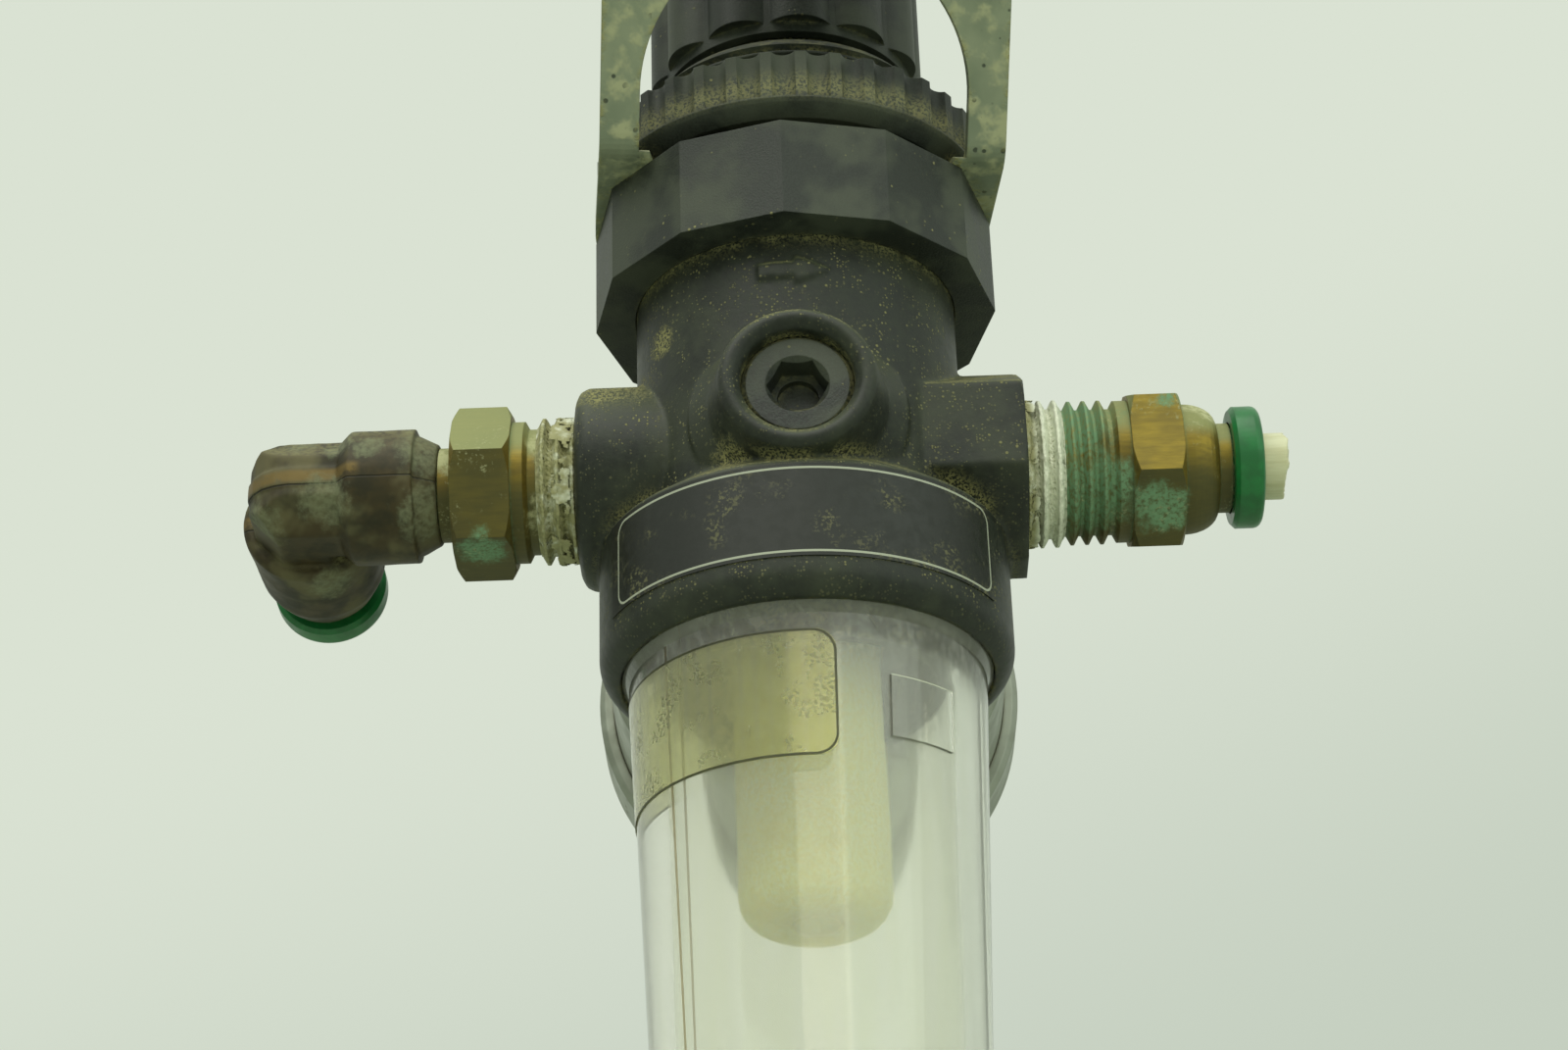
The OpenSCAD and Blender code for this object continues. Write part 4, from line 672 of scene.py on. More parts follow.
@dataclass(frozen=True)
class ClearPolycarbonate(Finish):
    """Moulded polycarbonate, years old: clear, hazed by fine scratches and oil, grimy under the collar.

    Attributes:
        seam: bearing of the brown line where the mould parts, in degrees from the front towards +X.
        seam_share: half its width, as a share of a turn.
        grime: lower and upper height of the grime under the collar, in millimetres.
        thicker: heights between which the grime thickens, upwards.
    """
    soft_edge: float = 0.0
    seam: float = -50.0
    seam_share: float = 0.0016
    grime: tuple[float, float] = (58.5, 66.5)
    thicker: tuple[float, float] = (59.0, 65.0)

    def skin(self, board: Board) -> Skin:
        """Varies the haze in long streaks down the bowl.

        Args:
            board: the board of the material.

        Returns:
            The finished skin.
        """
        streak = board.mottle(2.4, 0.3, 0.7, stretch=(1, 1, 0.12))
        clear = board.laid(Skin("#fffffa", 0.03), Skin("#fcfdf2", 0.09, 0.0, 0.002), streak)
        seam = board.add("ShaderNodeMath", {0: board.turn(), 1: FRONT + self.seam / 360, 2: self.seam_share},
                         operation="COMPARE").outputs[0]
        outward = board.add("ShaderNodeVectorMath", {0: board.place, 1: board.facing},
                            operation="DOT_PRODUCT").outputs["Value"]
        line = board.times(seam, board.ramp(outward, 0, 2 * MM), 0.9)
        seamed = board.laid(clear, Skin("#a8925a", 0.4, 0.0, 0.03), line)
        rising = board.ramp(board.along(2), self.thicker[0] * MM, self.thicker[1] * MM)
        caught = board.mottle(0.7, 0.36, 0.6, stretch=(1, 1, 0.5))
        grime = board.times(board.band(*self.grime, 4.5), rising, caught)
        return board.laid(seamed, Skin("#57522c", 0.35), board.times(grime, 0.75))

    def shader(self) -> dict[str, float | tuple]:
        """Makes it clear, with polycarbonate's own index."""
        return {"Transmission_Weight": 0.88, "IOR": 1.585}


@dataclass(frozen=True)
class Sticker(Finish):
    """Printed film with a thin line just inside its edge, and nothing else on it.

    Attributes:
        film: colour of the film.
        line: colour of the line.
        across: half the film's length round the axis, in millimetres of arc.
        turn: angle of its middle from the front, towards +X.
        radius: radius that it is stuck round.
        low: height of its lower edge above the drain mouth, in millimetres.
        high: height of its upper edge.
        inset: distance of the line from the edge.
        width: width of the line.
        corner: radius of the line's corners.
        clear: share of the light that passes through.
        roughness: how matt the film is.
    """
    film: str = "#141713"
    line: str = "#9a9f90"
    across: float = 20.8
    turn: float = 0.0
    radius: float = 19.25
    low: float = 68.26
    high: float = 77.5
    inset: float = 0.45
    width: float = 0.22
    corner: float = 1.3
    clear: float = 0.0
    roughness: float = 0.38
    soft_edge: float = 0.0

    def border(self, board: Board) -> Socket:
        """Gives 1 on the line, from the distance to a rounded rectangle on the unrolled film.

        Args:
            board: the board of the material.

        Returns:
            The mask.
        """
        girth = 2 * math.pi * self.radius
        unrolled = board.add("ShaderNodeCombineXYZ", {0: board.turn(), 1: board.along(2)}).outputs[0]
        middle = (-(FRONT + self.turn / 360) * girth, -(self.low + self.high) / 2, 0.0)
        centred = board.add("ShaderNodeMapping", {
            "Vector": unrolled, "Location": middle, "Scale": (girth, 1 / MM, 0)}).outputs[0]
        margin = self.inset + self.corner
        half = (self.across - margin, (self.high - self.low) / 2 - margin, 0.0)
        folded = board.add("ShaderNodeVectorMath", {0: centred}, operation="ABSOLUTE").outputs[0]
        past = board.add("ShaderNodeVectorMath", {0: folded, 1: half}, operation="SUBTRACT").outputs[0]
        outside = board.add("ShaderNodeVectorMath", {0: past, 1: (0, 0, 0)}, operation="MAXIMUM").outputs[0]
        far = board.add("ShaderNodeVectorMath", {0: outside}, operation="LENGTH").outputs["Value"]
        return board.add("ShaderNodeMath", {0: far, 1: self.corner, 2: self.width / 2},
                         operation="COMPARE").outputs[0]

    def skin(self, board: Board) -> Skin:
        """Lays the line, fine scratches and dust on the film.

        Args:
            board: the board of the material.

        Returns:
            The finished skin.
        """
        scuff = Skin(self.film, self.roughness + 0.15, 0.0, 0.004)
        scuffed = board.laid(Skin(self.film, self.roughness), scuff, board.mottle(1.2, 0.35, 0.65))
        lined = board.laid(scuffed, Skin(self.line, 0.5), self.border(board))
        dust = board.times(board.mottle(0.35, 0.5, 0.62, detail=2), board.mottle(4.2, 0.5, 0.68))
        return board.laid(lined, Skin("#7d7b56", 0.9), board.times(dust, 0.45))

    def shader(self) -> dict[str, float | tuple]:
        """Lets light through a clear film."""
        return {"Transmission_Weight": self.clear, "IOR": 1.48} if self.clear else {}


@dataclass(frozen=True)
class MouldedGreenAcetal(Finish):
    """Moulded green acetal of a release ring: saturated, smooth, waxy shine."""

    def skin(self, board: Board) -> Skin:
        """Varies the shine slightly and lays a little dust in the corners.

        Args:
            board: the board of the material.

        Returns:
            The finished skin.
        """
        shine = board.mottle(2.2, 0.35, 0.65)
        plastic = board.laid(Skin("#0f6a33", 0.3), Skin("#0c5a2b", 0.4, 0.0, 0.01), shine)
        dust = board.times(board.crevice(1.0, 0.35, 0.8), board.mottle(0.6, 0.42, 0.6))
        return board.laid(plastic, Skin("#8b9468", 0.9), dust)


@dataclass(frozen=True)
class NaturalNylonTube(Finish):
    """Extruded natural nylon tube: milky off-white, yellowed, faint lines along its length."""

    def skin(self, board: Board) -> Skin:
        """Varies the colour along the extrusion lines."""
        # the extruder's lines lie about 0.2 mm apart and are drawn coarser, so that they show
        lines = board.mottle(0.7, 0.3, 0.7, stretch=(0.1, 1, 1))
        return board.laid(Skin("#cbcaad", 0.5), Skin("#bab896", 0.6, 0.0, 0.02), lines)

    def shader(self) -> dict[str, float | tuple]:
        """Lets light soak into the milky plastic."""
        return {"Subsurface_Weight": 0.3, "Subsurface_Radius": (1.2 * MM, 1.0 * MM, 0.8 * MM)}


@dataclass(frozen=True)
class WrappedTape(Finish):
    """Stretched sealing tape over a thread: chalky grey-white with dirt in its folds.

    Attributes:
        clean: place along X past which the outlet's tape is clean, in millimetres.
    """
    clean: float = 22.4

    def skin(self, board: Board) -> Skin:
        """Lays dirt in the folds of the tape.

        Args:
            board: the board of the material.

        Returns:
            The finished skin.
        """
        folds = board.mottle(0.5, 0.3, 0.7, stretch=(1, 0.3, 0.3))
        tape = board.laid(Skin("#d9dccb", 0.5), Skin("#c4c9b5", 0.6, 0.0, 0.02), folds)
        handled = board.ramp(board.along(0), self.clean * MM, (self.clean - 0.8) * MM)
        soil = board.times(handled, board.mottle(1.8, 0.26, 0.52, shift=3), 0.9)
        soiled = board.laid(tape, Skin("#8e8b5e", 0.85), soil)
        roots = board.either(board.crevice(0.8, 0.35, 0.75), board.mottle(2.2, 0.56, 0.72))
        dirt = board.times(roots, board.mottle(0.5, 0.38, 0.6), 0.8)
        return board.laid(soiled, Skin("#77784f", 0.9), dirt)


@dataclass(frozen=True)
class PaintedEnamel(Finish):
    """Sprayed enamel of one colour on pressed steel: smooth, with a fine orange peel.

    Attributes:
        paint: colour of the enamel.
        peel: its colour in the hollows of the orange peel.
        roughness: how dull its shine is.
    """
    paint: str = "#101111"
    peel: str = "#161717"
    roughness: float = 0.45

    def skin(self, board: Board) -> Skin:
        """Varies the shine with the orange peel and a light dust.

        Args:
            board: the board of the material.

        Returns:
            The finished skin.
        """
        hollow = Skin(self.peel, self.roughness + 0.1, 0.0, 0.01)
        paint = board.laid(Skin(self.paint, self.roughness), hollow, board.mottle(0.8, 0.35, 0.65))
        dust = board.times(board.ledge(0.3, 0.95), board.mottle(0.4, 0.5, 0.62), board.mottle(3, 0.45, 0.65))
        return board.laid(paint, Skin("#7c7a58", 0.9), dust)


@dataclass(frozen=True)
class DulledNickel(Finish):
    """Drawn steel cup, nickel plated: grey and soft in its shine, brown in its corners and at small pits."""

    def skin(self, board: Board) -> Skin:
        """Lays brown spots and a dusty film on the plating.

        Args:
            board: the board of the material.

        Returns:
            The finished skin.
        """
        cloudy = board.mottle(5, 0.35, 0.65)
        plating = board.laid(Skin("#a3a79c", 0.42, 0.8), Skin("#8f9387", 0.52, 0.75), cloudy)
        pits = board.times(board.grains(1.1, 0.3), board.mottle(6, 0.5, 0.66))
        # brown in enclosed corners and at small pits
        thin = board.either(board.crevice(0.9, 0.3, 0.6), pits)
        spotted = board.laid(plating, Skin("#5a4c37", 0.7, 0.2), thin)
        dust = board.times(board.ledge(0.2, 0.9), board.mottle(0.5, 0.42, 0.6), 0.8)
        return board.laid(spotted, Skin("#8b8a66", 0.95), dust)


@dataclass(frozen=True)
class WindowGlass(Finish):
    """Flat acrylic window of the gauge: clear, with a few rubbed hairlines."""
    soft_edge: float = 0.0

    def skin(self, board: Board) -> Skin:
        """Varies the polish with hairline rubs."""
        # a hairline is about 0.02 mm wide, and a bundle of them is drawn as one rub
        rubs = board.mottle(1.5, 0.5, 0.7, stretch=(1, 1, 0.2))
        return board.laid(Skin("#eef3ee", 0.03), Skin("#eef3ee", 0.12), rubs)

    def shader(self) -> dict[str, float | tuple]:
        """Makes it clear, with acrylic's index."""
        return {"Transmission_Weight": 1.0, "IOR": 1.49}


DUST_DRIFTS = (
    Patch((-18, -6, 93.5), 4.6),
    Patch((-13, -9, 97), 2.2),
    Patch((-6, -15, 80), 3.2),
    Patch((17, -7, 93.5), 2.2),
    Patch((-15, -11, 62.5), 2.6),
)
GREEN_SALTS = (
    Patch((25.5, -5, 88), 5.6),
    Patch((27.0, -4, 82), 5.2),
    Patch((33.5, -4, 80.0), 3.4),
    Patch((31.2, 0, 86), 1.6),
    Patch((-30.0, -2, 79.6), 3.0),
    Patch((34.5, -6, 90), 1.8),
)
PALE_DRIFTS = (
    Patch((-22.6, -5, 88), 3.6),
    Patch((-23.0, -3, 82), 3.4),
    Patch((-33.4, -4, 88), 2.4),
    Patch((38.2, -4, 90), 2.4),
)
GREY_SALTS = (
    Patch((-44.6, -4.6, 83.6), 3.0),
    Patch((-43.4, -4.6, 89.6), 2.2),
    Patch((-47.4, -3.6, 90.8), 2.0),
    Patch((-51.4, -2.4, 82.2), 3.0),
    Patch((-40.4, -5.8, 88.4), 1.8),
    Patch((-35.4, -4.5, 88.0), 3.8),
    Patch((-35.4, -3.5, 82.5), 3.4),
    Patch((-45.0, 6.0, 79.8), 3.0),
)
FINISHES: dict[Slot, Finish] = {
    Slot.DIE_CAST: PaintedDieCasting("satin_painted_zinc_casting", 0.35, drifts=DUST_DRIFTS),
    Slot.LABEL_FILM: Sticker("printed_black_label_film"),
    Slot.BLACK_ACETAL: MouldedAcetal("moulded_black_acetal"),
    Slot.ZINC_PLATED_STEEL: ZincPlatedSteel("dulled_zinc_plated_steel", 0.2),
    Slot.STEEL: BrightMetal("turned_steel", metal="#a8abaa"),
    Slot.SPRING_STEEL: BrightMetal("drawn_spring_wire", metal="#8f9392", roughness=0.34),
    Slot.BRIGHT_BRASS: BrightMetal("turned_bright_brass"),
    Slot.WORN_BRASS: AgedBrass("aged_turned_brass", greens=GREEN_SALTS, drifts=PALE_DRIFTS),
    Slot.BROWN_BRASS: ForgedBrass("oxidised_forged_brass", 0.35, crusts=GREY_SALTS),
    Slot.PLATED_PLUG: MouldedAcetal("blackened_steel_plug", plastic="#151714", roughness=0.38, dust_share=0.5),
    Slot.NITRILE: NitrileRubber("moulded_nitrile_rubber"),
    Slot.POROUS_PLASTIC: SinteredPolyethylene("sintered_polyethylene"),
    Slot.CLEAR_POLYCARBONATE: ClearPolycarbonate("hazed_clear_polycarbonate"),
    Slot.CLEAR_FILM: Sticker(
        "yellowed_clear_film", film="#ecebc2", line="#6f7046", radius=16.4, low=50.7, high=62.5, across=15.3,
        turn=-44.5, corner=2.0, inset=0.1, clear=0.9, roughness=0.1),
    Slot.GREEN_ACETAL: MouldedGreenAcetal("moulded_green_acetal"),
    Slot.NATURAL_TUBE: NaturalNylonTube("extruded_natural_nylon"),
    Slot.PTFE_TAPE: WrappedTape("wrapped_sealing_tape", 0.1),
    Slot.DULLED_NICKEL: DulledNickel("dulled_nickel_plated_steel", 0.25),
    Slot.WHITE_DIAL: PaintedEnamel("white_enamelled_dial", paint="#dcdcd2", peel="#d3d3c7", roughness=0.5),
    Slot.BLACK_POINTER: PaintedEnamel("black_painted_pointer"),
    Slot.GAUGE_GLASS: WindowGlass("clear_acrylic_window"),
}


@dataclass
class FinishShop:
    """Makes each finish once and puts it on pieces."""
    made: dict[Slot, bpy.types.Material] = field(default_factory=dict)

    def of(self, slot: Slot) -> bpy.types.Material:
        """Gives the material of a slot, made on first use.

        Args:
            slot: the slot.

        Returns:
            The material.
        """
        if slot not in self.made:
            self.made[slot] = FINISHES[slot].material()
        return self.made[slot]

    def dress(self, piece: bpy.types.Object, slot: Slot) -> None:
        """Puts a slot's finish on the whole of a piece.

        Args:
            piece: a CAD node or a new piece.
            slot: the slot of its finish.
        """
        if piece.data.materials:
            piece.material_slots[0].material = self.of(slot)
        else:
            piece.data.materials.append(self.of(slot))

    def dress_frame(self) -> None:
        """Puts a finish on each CAD node, by the slot that it was packed with."""
        for name, node in sorted(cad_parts.items()):
            self.dress(node, Slot(node.material_slots[0].material.name.split(".")[0]))
            LOG.info("dressed %s", name)


class Bench:
    """Tools that shape new pieces."""

    @staticmethod
    def clear() -> None:
        """Deselects everything."""
        bpy.ops.object.select_all(action="DESELECT")

    @staticmethod
    def pick(*pieces: bpy.types.Object) -> None:
        """Selects some pieces and nothing else, the first one active.

        Args:
            pieces: the pieces.
        """
        Bench.clear()
        for piece in pieces:
            piece.select_set(True)
        bpy.context.view_layer.objects.active = pieces[0]

    @staticmethod
    def edit(piece: bpy.types.Object) -> None:
        """Opens a piece for editing with all of it selected.

        Args:
            piece: the piece.
        """
        Bench.pick(piece)
        bpy.ops.object.mode_set(mode="EDIT")
        bpy.ops.mesh.select_all(action="SELECT")

    @staticmethod
    def done() -> None:
        """Closes the piece that is being edited."""
        bpy.ops.object.mode_set(mode="OBJECT")

    @staticmethod
    def choose(piece: bpy.types.Object, wanted: Callable[[Vector], bool]) -> None:
        """Selects the faces of a piece by the place of their middle, and opens it for editing.

        Args:
            piece: the piece.
            wanted: tells whether a face with this middle is selected.
        """
        Bench.edit(piece)
        bpy.ops.mesh.select_mode(type="FACE")
        bpy.ops.mesh.select_all(action="DESELECT")
        Bench.done()
        for face in piece.data.polygons:
            face.select = wanted(face.center)
        Bench.pick(piece)
        bpy.ops.object.mode_set(mode="EDIT")

    @staticmethod
    def twin(node: str, name: str) -> bpy.types.Object:
        """Copies a CAD node and merges its loose triangles.

        Args:
            node: the node.
            name: name of the copy.

        Returns:
            The copy, with no material.
        """
        piece = bpy.data.objects.new(name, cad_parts[node].data.copy())
        piece.data.materials.clear()
        bpy.context.scene.collection.objects.link(piece)
        Bench.edit(piece)
        bpy.ops.mesh.remove_doubles(threshold=MERGE)
        Bench.done()
        return piece

    @staticmethod
    def work(piece: bpy.types.Object, kind: str, **settings: object) -> None:
        """Puts a modifier on a piece and applies it.

        Args:
            piece: the piece.
            kind: Blender's name of the modifier.
            settings: the modifier's settings.
        """
        Bench.pick(piece)
        modifier = piece.modifiers.new(kind.lower(), kind)
        for key, value in settings.items():
            setattr(modifier, key, value)
        bpy.ops.object.modifier_apply(modifier=modifier.name)

    @staticmethod
    def lumps(piece: bpy.types.Object, size: float, height: float) -> None:
        """Raises and sinks a surface softly.

        Args:
            piece: the piece.
            size: distance between lumps in millimetres.
            height: height of a lump in millimetres.
        """
        cloud = bpy.data.textures.new(f"{piece.name}_lumps", "CLOUDS")
        cloud.noise_scale, cloud.noise_depth = size * MM, 2
        Bench.work(piece, "DISPLACE", texture=cloud, strength=height * MM, mid_level=0.5,
                   texture_coords="LOCAL")

    @staticmethod
    def shade(piece: bpy.types.Object, crease: float = 35.0) -> None:
        """Shades a piece smooth up to a crease angle in degrees."""
        Bench.pick(piece)
        bpy.ops.object.shade_smooth_by_angle(angle=math.radians(crease))

    @staticmethod
    def soften(piece: bpy.types.Object, grain: float, passes: int, most: int) -> None:
        """Rounds every edge of a closed piece a little.

        Args:
            piece: the piece.
            grain: distance between the new points in millimetres.
            passes: how often each point moves towards its neighbours.
            most: number of triangles that the piece may have.
        """
        Bench.work(piece, "REMESH", mode="VOXEL", voxel_size=grain * MM, use_smooth_shade=True)
        Bench.work(piece, "SMOOTH", factor=0.5, iterations=passes)
        count = 2 * len(piece.data.polygons)
        if count > most:
            Bench.work(piece, "DECIMATE", ratio=most / count)
        Bench.shade(piece)


@dataclass
class Assembly:
    """A sub-assembly with pieces of its own.

    Attributes:
        shop: where its finishes come from.
    """
    shop: FinishShop

    def fit(self, piece: bpy.types.Object, slot: Slot, body: str, *nodes: str) -> None:
        """Dresses a new piece and puts it on its body.

        Args:
            piece: the piece.
            slot: the slot of its finish.
            body: the body that carries it.
            nodes: the CAD nodes that it stands for.
        """
        self.shop.dress(piece, slot)
        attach(piece, body)
        if nodes:
            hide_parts(*nodes)
        LOG.info("%s rides on %s", piece.name, body)


@dataclass
class Casting(Assembly):
    """The body's casting with the rounded edges and small fillets that a die leaves.

    Attributes:
        grain: distance between its points in millimetres.
        passes: how far its edges are rounded.
        most: number of triangles that it may have.
    """
    grain: float = 0.25
    passes: int = 1
    most: int = 190_000

    def build(self) -> None:
        """Makes the softened casting."""
        piece = Bench.twin("body", "softened_body_casting")
        Bench.soften(piece, self.grain, self.passes, self.most)
        self.fit(piece, Slot.DIE_CAST, "regulator", "body")


@dataclass
class Elbow(Assembly):
    """The forged elbow with its soft corners.

    Attributes:
        grain: distance between its points in millimetres.
        passes: how far its edges are rounded.
        lump: distance between the forging's lumps in millimetres.
        lump_height: how high they stand.
        most: number of triangles that it may have.
    """
    grain: float = 0.15
    passes: int = 7
    lump: float = 3.0
    lump_height: float = 0.16
    most: int = 150_000

    def build(self) -> None:
        """Makes the softened forging."""
        piece = Bench.twin("elbow_body", "softened_forged_elbow")
        Bench.soften(piece, self.grain, self.passes, self.most)
        Bench.lumps(piece, self.lump, self.lump_height)
        self.fit(piece, Slot.BROWN_BRASS, "elbow", "elbow_body")


@dataclass
class WoundTape(Assembly):
    """Sealing tape pressed into a fitting's thread, with its loose outer turn torn along both edges.

    Attributes:
        node: the CAD tape that lies in the thread.
        start: where the loose turn starts along X, in millimetres.
        end: where it ends.
        radius: its radius.
        tear: 0 is whole, 1 is nearly gone.
        rags: how many times it is torn in a metre.
        ply: thickness of the film.
        height: height of the thread's axis.
        creases: spacing and height of the pressed tape's creases.
        flutter: spacing and height of the loose turn's waves.
        sides: number of flats round the loose turn.
        cuts: how often each face of the pressed tape and of the loose turn is cut.
    """
    node: str = "outlet_tape"
    start: float = 21.2
    end: float = 24.9
    radius: float = 6.98
    tear: float = 0.35
    rags: float = 520.0
    ply: float = 0.06
    height: float = 86.1
    creases: tuple[float, float] = (0.7, 0.14)
    flutter: tuple[float, float] = (1.1, 0.35)
    sides: int = 150
    cuts: tuple[int, int] = (2, 7)

    def gone(self, middle: Vector) -> bool:
        """Tells whether a part of the loose turn has been torn away.

        Args:
            middle: the middle of the part.

        Returns:
            True where it is gone.
        """
        along = (middle.x / MM - self.start) / (self.end - self.start)
        edge = abs(2 * along - 1) ** 3
        return 0.5 + 0.5 * noise.fractal(middle * self.rags, 1.0, 2.0, 4) < self.tear + 0.3 * edge

    def press(self) -> None:
        """Creases the tape that lies in the thread."""
        piece = Bench.twin(self.node, f"creased_{self.node}")
        Bench.edit(piece)
        bpy.ops.mesh.subdivide(number_cuts=self.cuts[0])
        Bench.done()
        Bench.lumps(piece, *self.creases)
        Bench.shade(piece)
        self.fit(piece, Slot.PTFE_TAPE, "regulator", self.node)

    def loosen(self) -> None:
        """Rolls, tears, creases and thickens the loose turn."""
        middle = (self.start + self.end) / 2 * MM
        Bench.clear()
        bpy.ops.mesh.primitive_cylinder_add(
            vertices=self.sides, radius=self.radius * MM, depth=abs(self.end - self.start) * MM,
            end_fill_type="NOTHING", location=(middle, 0, self.height * MM), rotation=(0, math.pi / 2, 0))
        piece = bpy.context.object
        piece.name = f"torn_{self.node}"
        bpy.ops.object.transform_apply(location=True, rotation=True, scale=True)
        Bench.edit(piece)
        bpy.ops.mesh.bisect(plane_co=(middle, 0, 0), plane_no=(1, 0, 0))
        bpy.ops.mesh.select_all(action="SELECT")
        bpy.ops.mesh.subdivide(number_cuts=self.cuts[1])
        Bench.done()
        Bench.choose(piece, self.gone)
        bpy.ops.mesh.delete(type="FACE")
        Bench.done()
        Bench.lumps(piece, *self.flutter)
        Bench.work(piece, "SOLIDIFY", thickness=self.ply * MM, offset=1.0)
        Bench.shade(piece, 50)
        self.fit(piece, Slot.PTFE_TAPE, "regulator")

    def build(self) -> None:
        """Makes both layers."""
        self.press()
        self.loosen()


@dataclass
class GaugeFace(Assembly):
    """Printed scale of the gauge: ticks and plain numbers. Its sizes are shares of the dial's radius.

    Attributes:
        sweep: angle of the whole scale in degrees.
        top: the highest number.
        majors: number of steps with a number.
        minors: small steps in each of them.
        ink: height of the print in millimetres.
        outer: distance of the ticks' outer ends from the axis.
        major: length and width of a tick with a number.
        minor: length and width of a tick between.
        number_ring: distance of the numbers from the axis.
        type_size: height of the type.
    """
    sweep: float = 270.0
    top: int = 160
    majors: int = 8
    minors: int = 4
    ink: float = 0.03
    outer: float = 0.9
    major: tuple[float, float] = (0.13, 0.032)
    minor: tuple[float, float] = (0.07, 0.016)
    number_ring: float = 0.62
    type_size: float = 0.19

    def place(self, turn: float, reach: float) -> Matrix:
        """Gives an upright place on the dial's front, which its reader sees from +Y.

        Args:
            turn: clockwise angle from the top, for the reader, in degrees.
            reach: distance from the pointer's axis in metres.

        Returns:
            The place, with X to the reader's right and Y up.
        """
        low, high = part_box("gauge_dial")
        angle = math.radians(turn)
        spot = ((low[0] + high[0]) / 2 - math.sin(angle) * reach, high[1],
                (low[2] + high[2]) / 2 + math.cos(angle) * reach)
        return Matrix.Translation(spot) @ Matrix(((-1, 0, 0), (0, 0, 1), (0, 1, 0))).to_4x4()

    def tick(self, turn: float, outer: float, length: float, width: float) -> bpy.types.Object:
        """Prints one tick, as a thin block that points at the axis.

        Args:
            turn: its angle in degrees.
            outer: distance of its outer end from the axis, in metres.
            length: its length in metres.
            width: its width in metres.

        Returns:
            The tick.
        """
        Bench.clear()
        bpy.ops.mesh.primitive_plane_add(size=1.0)
        tick = bpy.context.object
        Bench.edit(tick)
        bpy.ops.mesh.extrude_region_move(TRANSFORM_OT_translate={"value": (0, 0, 1)})
        Bench.done()
        lean = Matrix.Rotation(-math.radians(turn), 4, "Z")
        size = Matrix.Diagonal((width, length, self.ink * MM)).to_4x4()
        tick.data.transform(self.place(turn, outer - length / 2) @ lean @ size)
        return tick

    def number(self, turn: float, reach: float, value: int, size: float) -> bpy.types.Object:
        """Prints one upright number.

        Args:
            turn: its angle in degrees.
            reach: distance of its middle from the axis, in metres.
            value: the number.
            size: height of the type in metres.

        Returns:
            The number.
        """
        half_ink = self.ink * MM / 2
        Bench.clear()
        bpy.ops.object.text_add()
        words = bpy.context.object
        words.data.body, words.data.size, words.data.extrude = str(value), size, half_ink
        words.data.align_x, words.data.align_y = "CENTER", "CENTER"
        words.data.resolution_u = 3
        bpy.ops.object.convert(target="MESH")
        words = bpy.context.object
        words.data.transform(self.place(turn, reach) @ Matrix.Translation((0, 0, half_ink)))
        return words

    def build(self) -> None:
        """Prints the scale and joins it to one piece."""
        low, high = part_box("gauge_dial")
        rim = (high[0] - low[0]) / 2
        printed = []
        count = self.majors * self.minors
        for step in range(count + 1):
            turn = self.sweep * (step / count - 0.5)
            numbered = step % self.minors == 0
            length, width = self.major if numbered else self.minor
            printed.append(self.tick(turn, rim * self.outer, rim * length, rim * width))
            if numbered:
                value = self.top * step // count
                printed.append(self.number(turn, rim * self.number_ring, value, rim * self.type_size))
        Bench.pick(*printed)
        bpy.ops.object.join()
        piece = bpy.context.object
        piece.name = "printed_dial_scale"
        bpy.ops.object.transform_apply(location=True, rotation=True, scale=True)
        Bench.edit(piece)
        bpy.ops.mesh.remove_doubles(threshold=MERGE)
        bpy.ops.mesh.normals_make_consistent(inside=False)
        Bench.done()
        self.fit(piece, Slot.BLACK_POINTER, "regulator")


@dataclass
class CutTube(Assembly):
    """The short length of tube, cut off roughly.

    Attributes:
        grain: distance between its points in millimetres.
        passes: how far its edges are rounded.
        most: number of triangles that it may have.
        torn: how far the cut's edge is pulled about, in millimetres.
        frayed: length of the end that is pulled about, in millimetres.
        tatter: distance between tatters in millimetres.
    """
    grain: float = 0.12
    passes: int = 2
    most: int = 60_000
    torn: float = 0.9
    frayed: float = 1.4
    tatter: float = 1.3

    def build(self) -> None:
        """Makes the tube with its rough cut."""
        piece = Bench.twin("tube_stub", "rough_cut_tube")
        Bench.soften(piece, self.grain, self.passes, self.most)
        end = max(point.co.x for point in piece.data.vertices)
        group = piece.vertex_groups.new(name="cut")
        for point in piece.data.vertices:
            near = 1 - (end - point.co.x) / (self.frayed * MM)
            if near > 0:
                group.add([point.index], near, "REPLACE")
        rough = bpy.data.textures.new("rough_cut", "CLOUDS")
        rough.noise_scale, rough.noise_depth = self.tatter * MM, 3
        Bench.work(piece, "DISPLACE", texture=rough, strength=-self.torn * MM, mid_level=0.25, direction="X",
                   texture_coords="LOCAL", vertex_group=group.name)
        self.fit(piece, Slot.NATURAL_TUBE, "regulator", "tube_stub")


@dataclass(frozen=True)
class Lamp:
    """A square soft box.

    Attributes:
        name: its name.
        place: where it hangs.
        size: length of its side.
        power: its power in watts.
        tint: its colour.
        mirrored: whether shiny faces show it.
    """
    name: str
    place: tuple[float, float, float]
    size: float
    power: float
    tint: str
    mirrored: bool = True


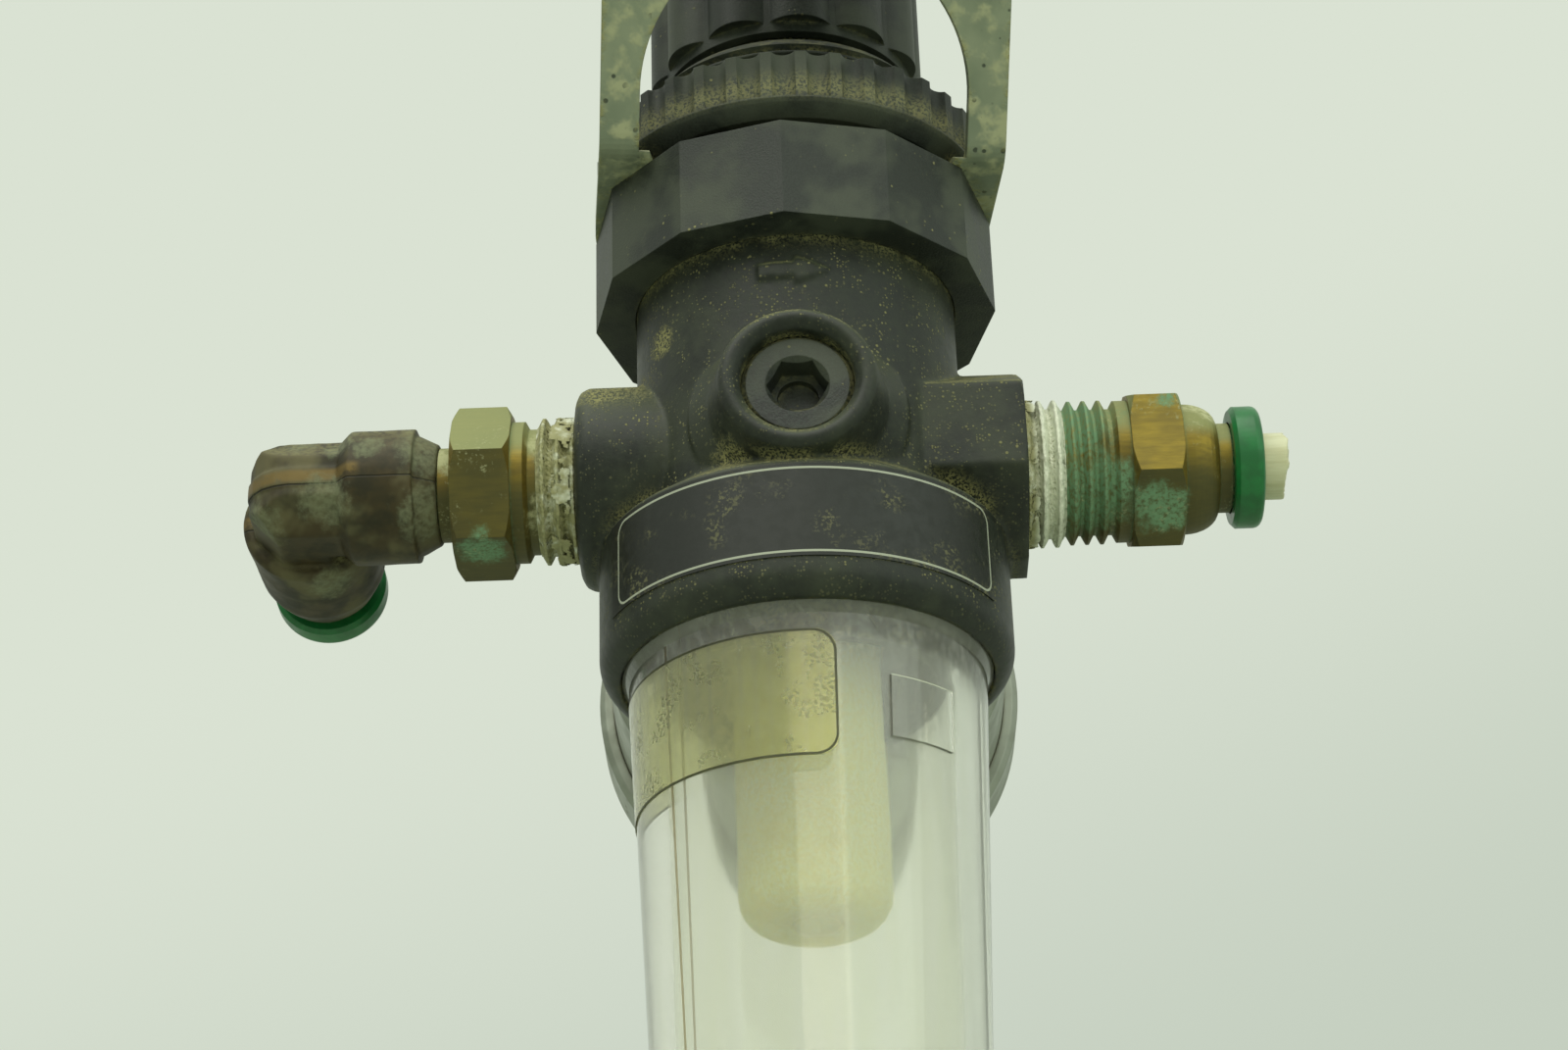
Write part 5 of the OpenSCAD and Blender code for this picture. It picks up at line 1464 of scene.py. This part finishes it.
@dataclass
class Studio:
    """Camera, lights, floor and sky.

    Attributes:
        eye: place of the camera.
        bearing: angle of the view from +Y towards +X, in degrees.
        rise: angle that the camera looks up at, in degrees.
        roll: turn of the camera round its own axis, in degrees.
        lens: focal length in millimetres on a 36 mm sensor.
        floor_z: height of the floor.
        floor_side: length of its side.
        paper: colours of the paper behind the object, at its lower and upper end.
        walls: colours of the room on the camera's side, below and above.
        middle: the point that the lamps face.
        lamps: the lamps.
    """
    eye: tuple[float, float, float] = (-0.000092, -0.27144, -0.06402)
    bearing: float = -0.35
    rise: float = 28.22
    roll: float = -1.86
    lens: float = 74.793
    floor_z: float = -0.12
    floor_side: float = 6.0
    paper: tuple[str, str] = ("#c5cfc0", "#dae2d3")
    walls: tuple[str, str] = ("#4a5047", "#c9d1c2")
    middle: tuple[float, float, float] = (0.0, 0.0, 0.09)
    lamps: tuple[Lamp, ...] = (
        Lamp("key", (-0.2, -0.45, 0.86), 0.9, 6.0, "#fdfff4"),
        Lamp("front", (0.1, -0.95, 0.3), 0.6, 2.4, "#fffbe4", mirrored=False),
        Lamp("fill", (0.6, -0.6, 0.4), 0.9, 2.0, "#f2fff0"),
    )

    def place_camera(self) -> None:
        """Sets the camera where the view is taken from."""
        bearing, rise, roll = (math.radians(angle) for angle in (self.bearing, self.rise, self.roll))
        level = math.cos(rise)
        ahead = Vector((math.sin(bearing) * level, math.cos(bearing) * level, math.sin(rise)))
        right = Vector((math.cos(bearing), -math.sin(bearing), 0))
        up = right.cross(ahead)
        across = right * math.cos(roll) + up * math.sin(roll)
        above = up * math.cos(roll) - right * math.sin(roll)
        lens = bpy.data.cameras.new("camera")
        lens.lens, lens.sensor_width, lens.clip_start = self.lens, 36.0, 0.01
        camera = bpy.data.objects.new("camera", lens)
        turned = Matrix((across, above, -ahead)).transposed().to_4x4()
        camera.matrix_world = Matrix.Translation(self.eye) @ turned
        bpy.context.scene.collection.objects.link(camera)
        bpy.context.scene.camera = camera

    def hang(self, lamp: Lamp) -> None:
        """Hangs a lamp.

        Args:
            lamp: the lamp.
        """
        light = bpy.data.lights.new(lamp.name, "AREA")
        light.size, light.energy, light.color = lamp.size, lamp.power, linear(lamp.tint)[:3]
        box = bpy.data.objects.new(lamp.name, light)
        facing = (Vector(self.middle) - Vector(lamp.place)).to_track_quat("-Z", "Y")
        box.matrix_world = Matrix.Translation(lamp.place) @ facing.to_matrix().to_4x4()
        box.visible_glossy = lamp.mirrored
        bpy.context.scene.collection.objects.link(box)

    def paint_sky(self) -> None:
        """Gives the room a sheet of bright paper behind the object and dim walls on the camera's side."""
        world = bpy.data.worlds.new("room")
        room = Wiring(world)
        way = room.add("ShaderNodeTexCoord", {}).outputs["Generated"]
        height = room.add("ShaderNodeSeparateXYZ", {0: way}).outputs[2]
        # slope rises up the leaning paper, and side grows from the camera's side towards the paper's
        slope, side = (
            room.add("ShaderNodeVectorMath", {0: way, 1: axis}, operation="DOT_PRODUCT").outputs["Value"]
            for axis in ((-0.3, 0.0, 1.0), (0.35, 1.0, 0.0)))
        up_paper, up_walls, behind = (
            room.add("ShaderNodeMapRange", {0: value, 1: low, 2: high},
                     interpolation_type="SMOOTHSTEP").outputs[0]
            for value, low, high in ((slope, 0.24, 0.5), (height, -0.3, 0.4), (side, -0.1, 0.42)))
        paper, walls = (
            room.add("ShaderNodeMix", {0: share, 6: below, 7: above}, data_type="RGBA").outputs[2]
            for share, (below, above) in ((up_paper, self.paper), (up_walls, self.walls)))
        both = room.add("ShaderNodeMix", {0: behind, 6: walls, 7: paper}, data_type="RGBA").outputs[2]
        shown = room.add("ShaderNodeBackground", {0: both}).outputs[0]
        room.add("ShaderNodeOutputWorld", {0: shown})
        bpy.context.scene.world = world

    def lay_floor(self) -> None:
        """Lays a plain pale floor below the object."""
        Bench.clear()
        bpy.ops.mesh.primitive_plane_add(size=self.floor_side, location=(0, 0, self.floor_z))
        floor = bpy.context.object
        floor.name = "floor"
        board = Board("pale_matt_paper")
        sheet = board.laid(Skin("#b4bbad", 0.9), Skin("#aeb5a6", 0.95), board.mottle(40, 0.3, 0.7))
        floor.data.materials.append(board.close(sheet))

    def build(self) -> None:
        """Sets up the whole studio."""
        bpy.context.scene.view_settings.view_transform = "Standard"
        self.place_camera()
        self.paint_sky()
        self.lay_floor()
        for lamp in self.lamps:
            self.hang(lamp)
        LOG.info("studio ready")


def main() -> None:
    """Builds the studio and every sub-assembly in order."""
    logging.basicConfig(level=logging.INFO, format="%(name)s: %(message)s")
    Studio().build()
    shop = FinishShop()
    shop.dress_frame()
    assemblies = (
        Casting(shop),
        Elbow(shop),
        GaugeFace(shop),
        CutTube(shop),
        WoundTape(shop, end=22.3, tear=0.5),
        WoundTape(shop, node="inlet_tape", start=-21.2, end=-23.6, tear=0.46),
    )
    for assembly in assemblies:
        assembly.build()


if __name__ == "__main__":
    main()
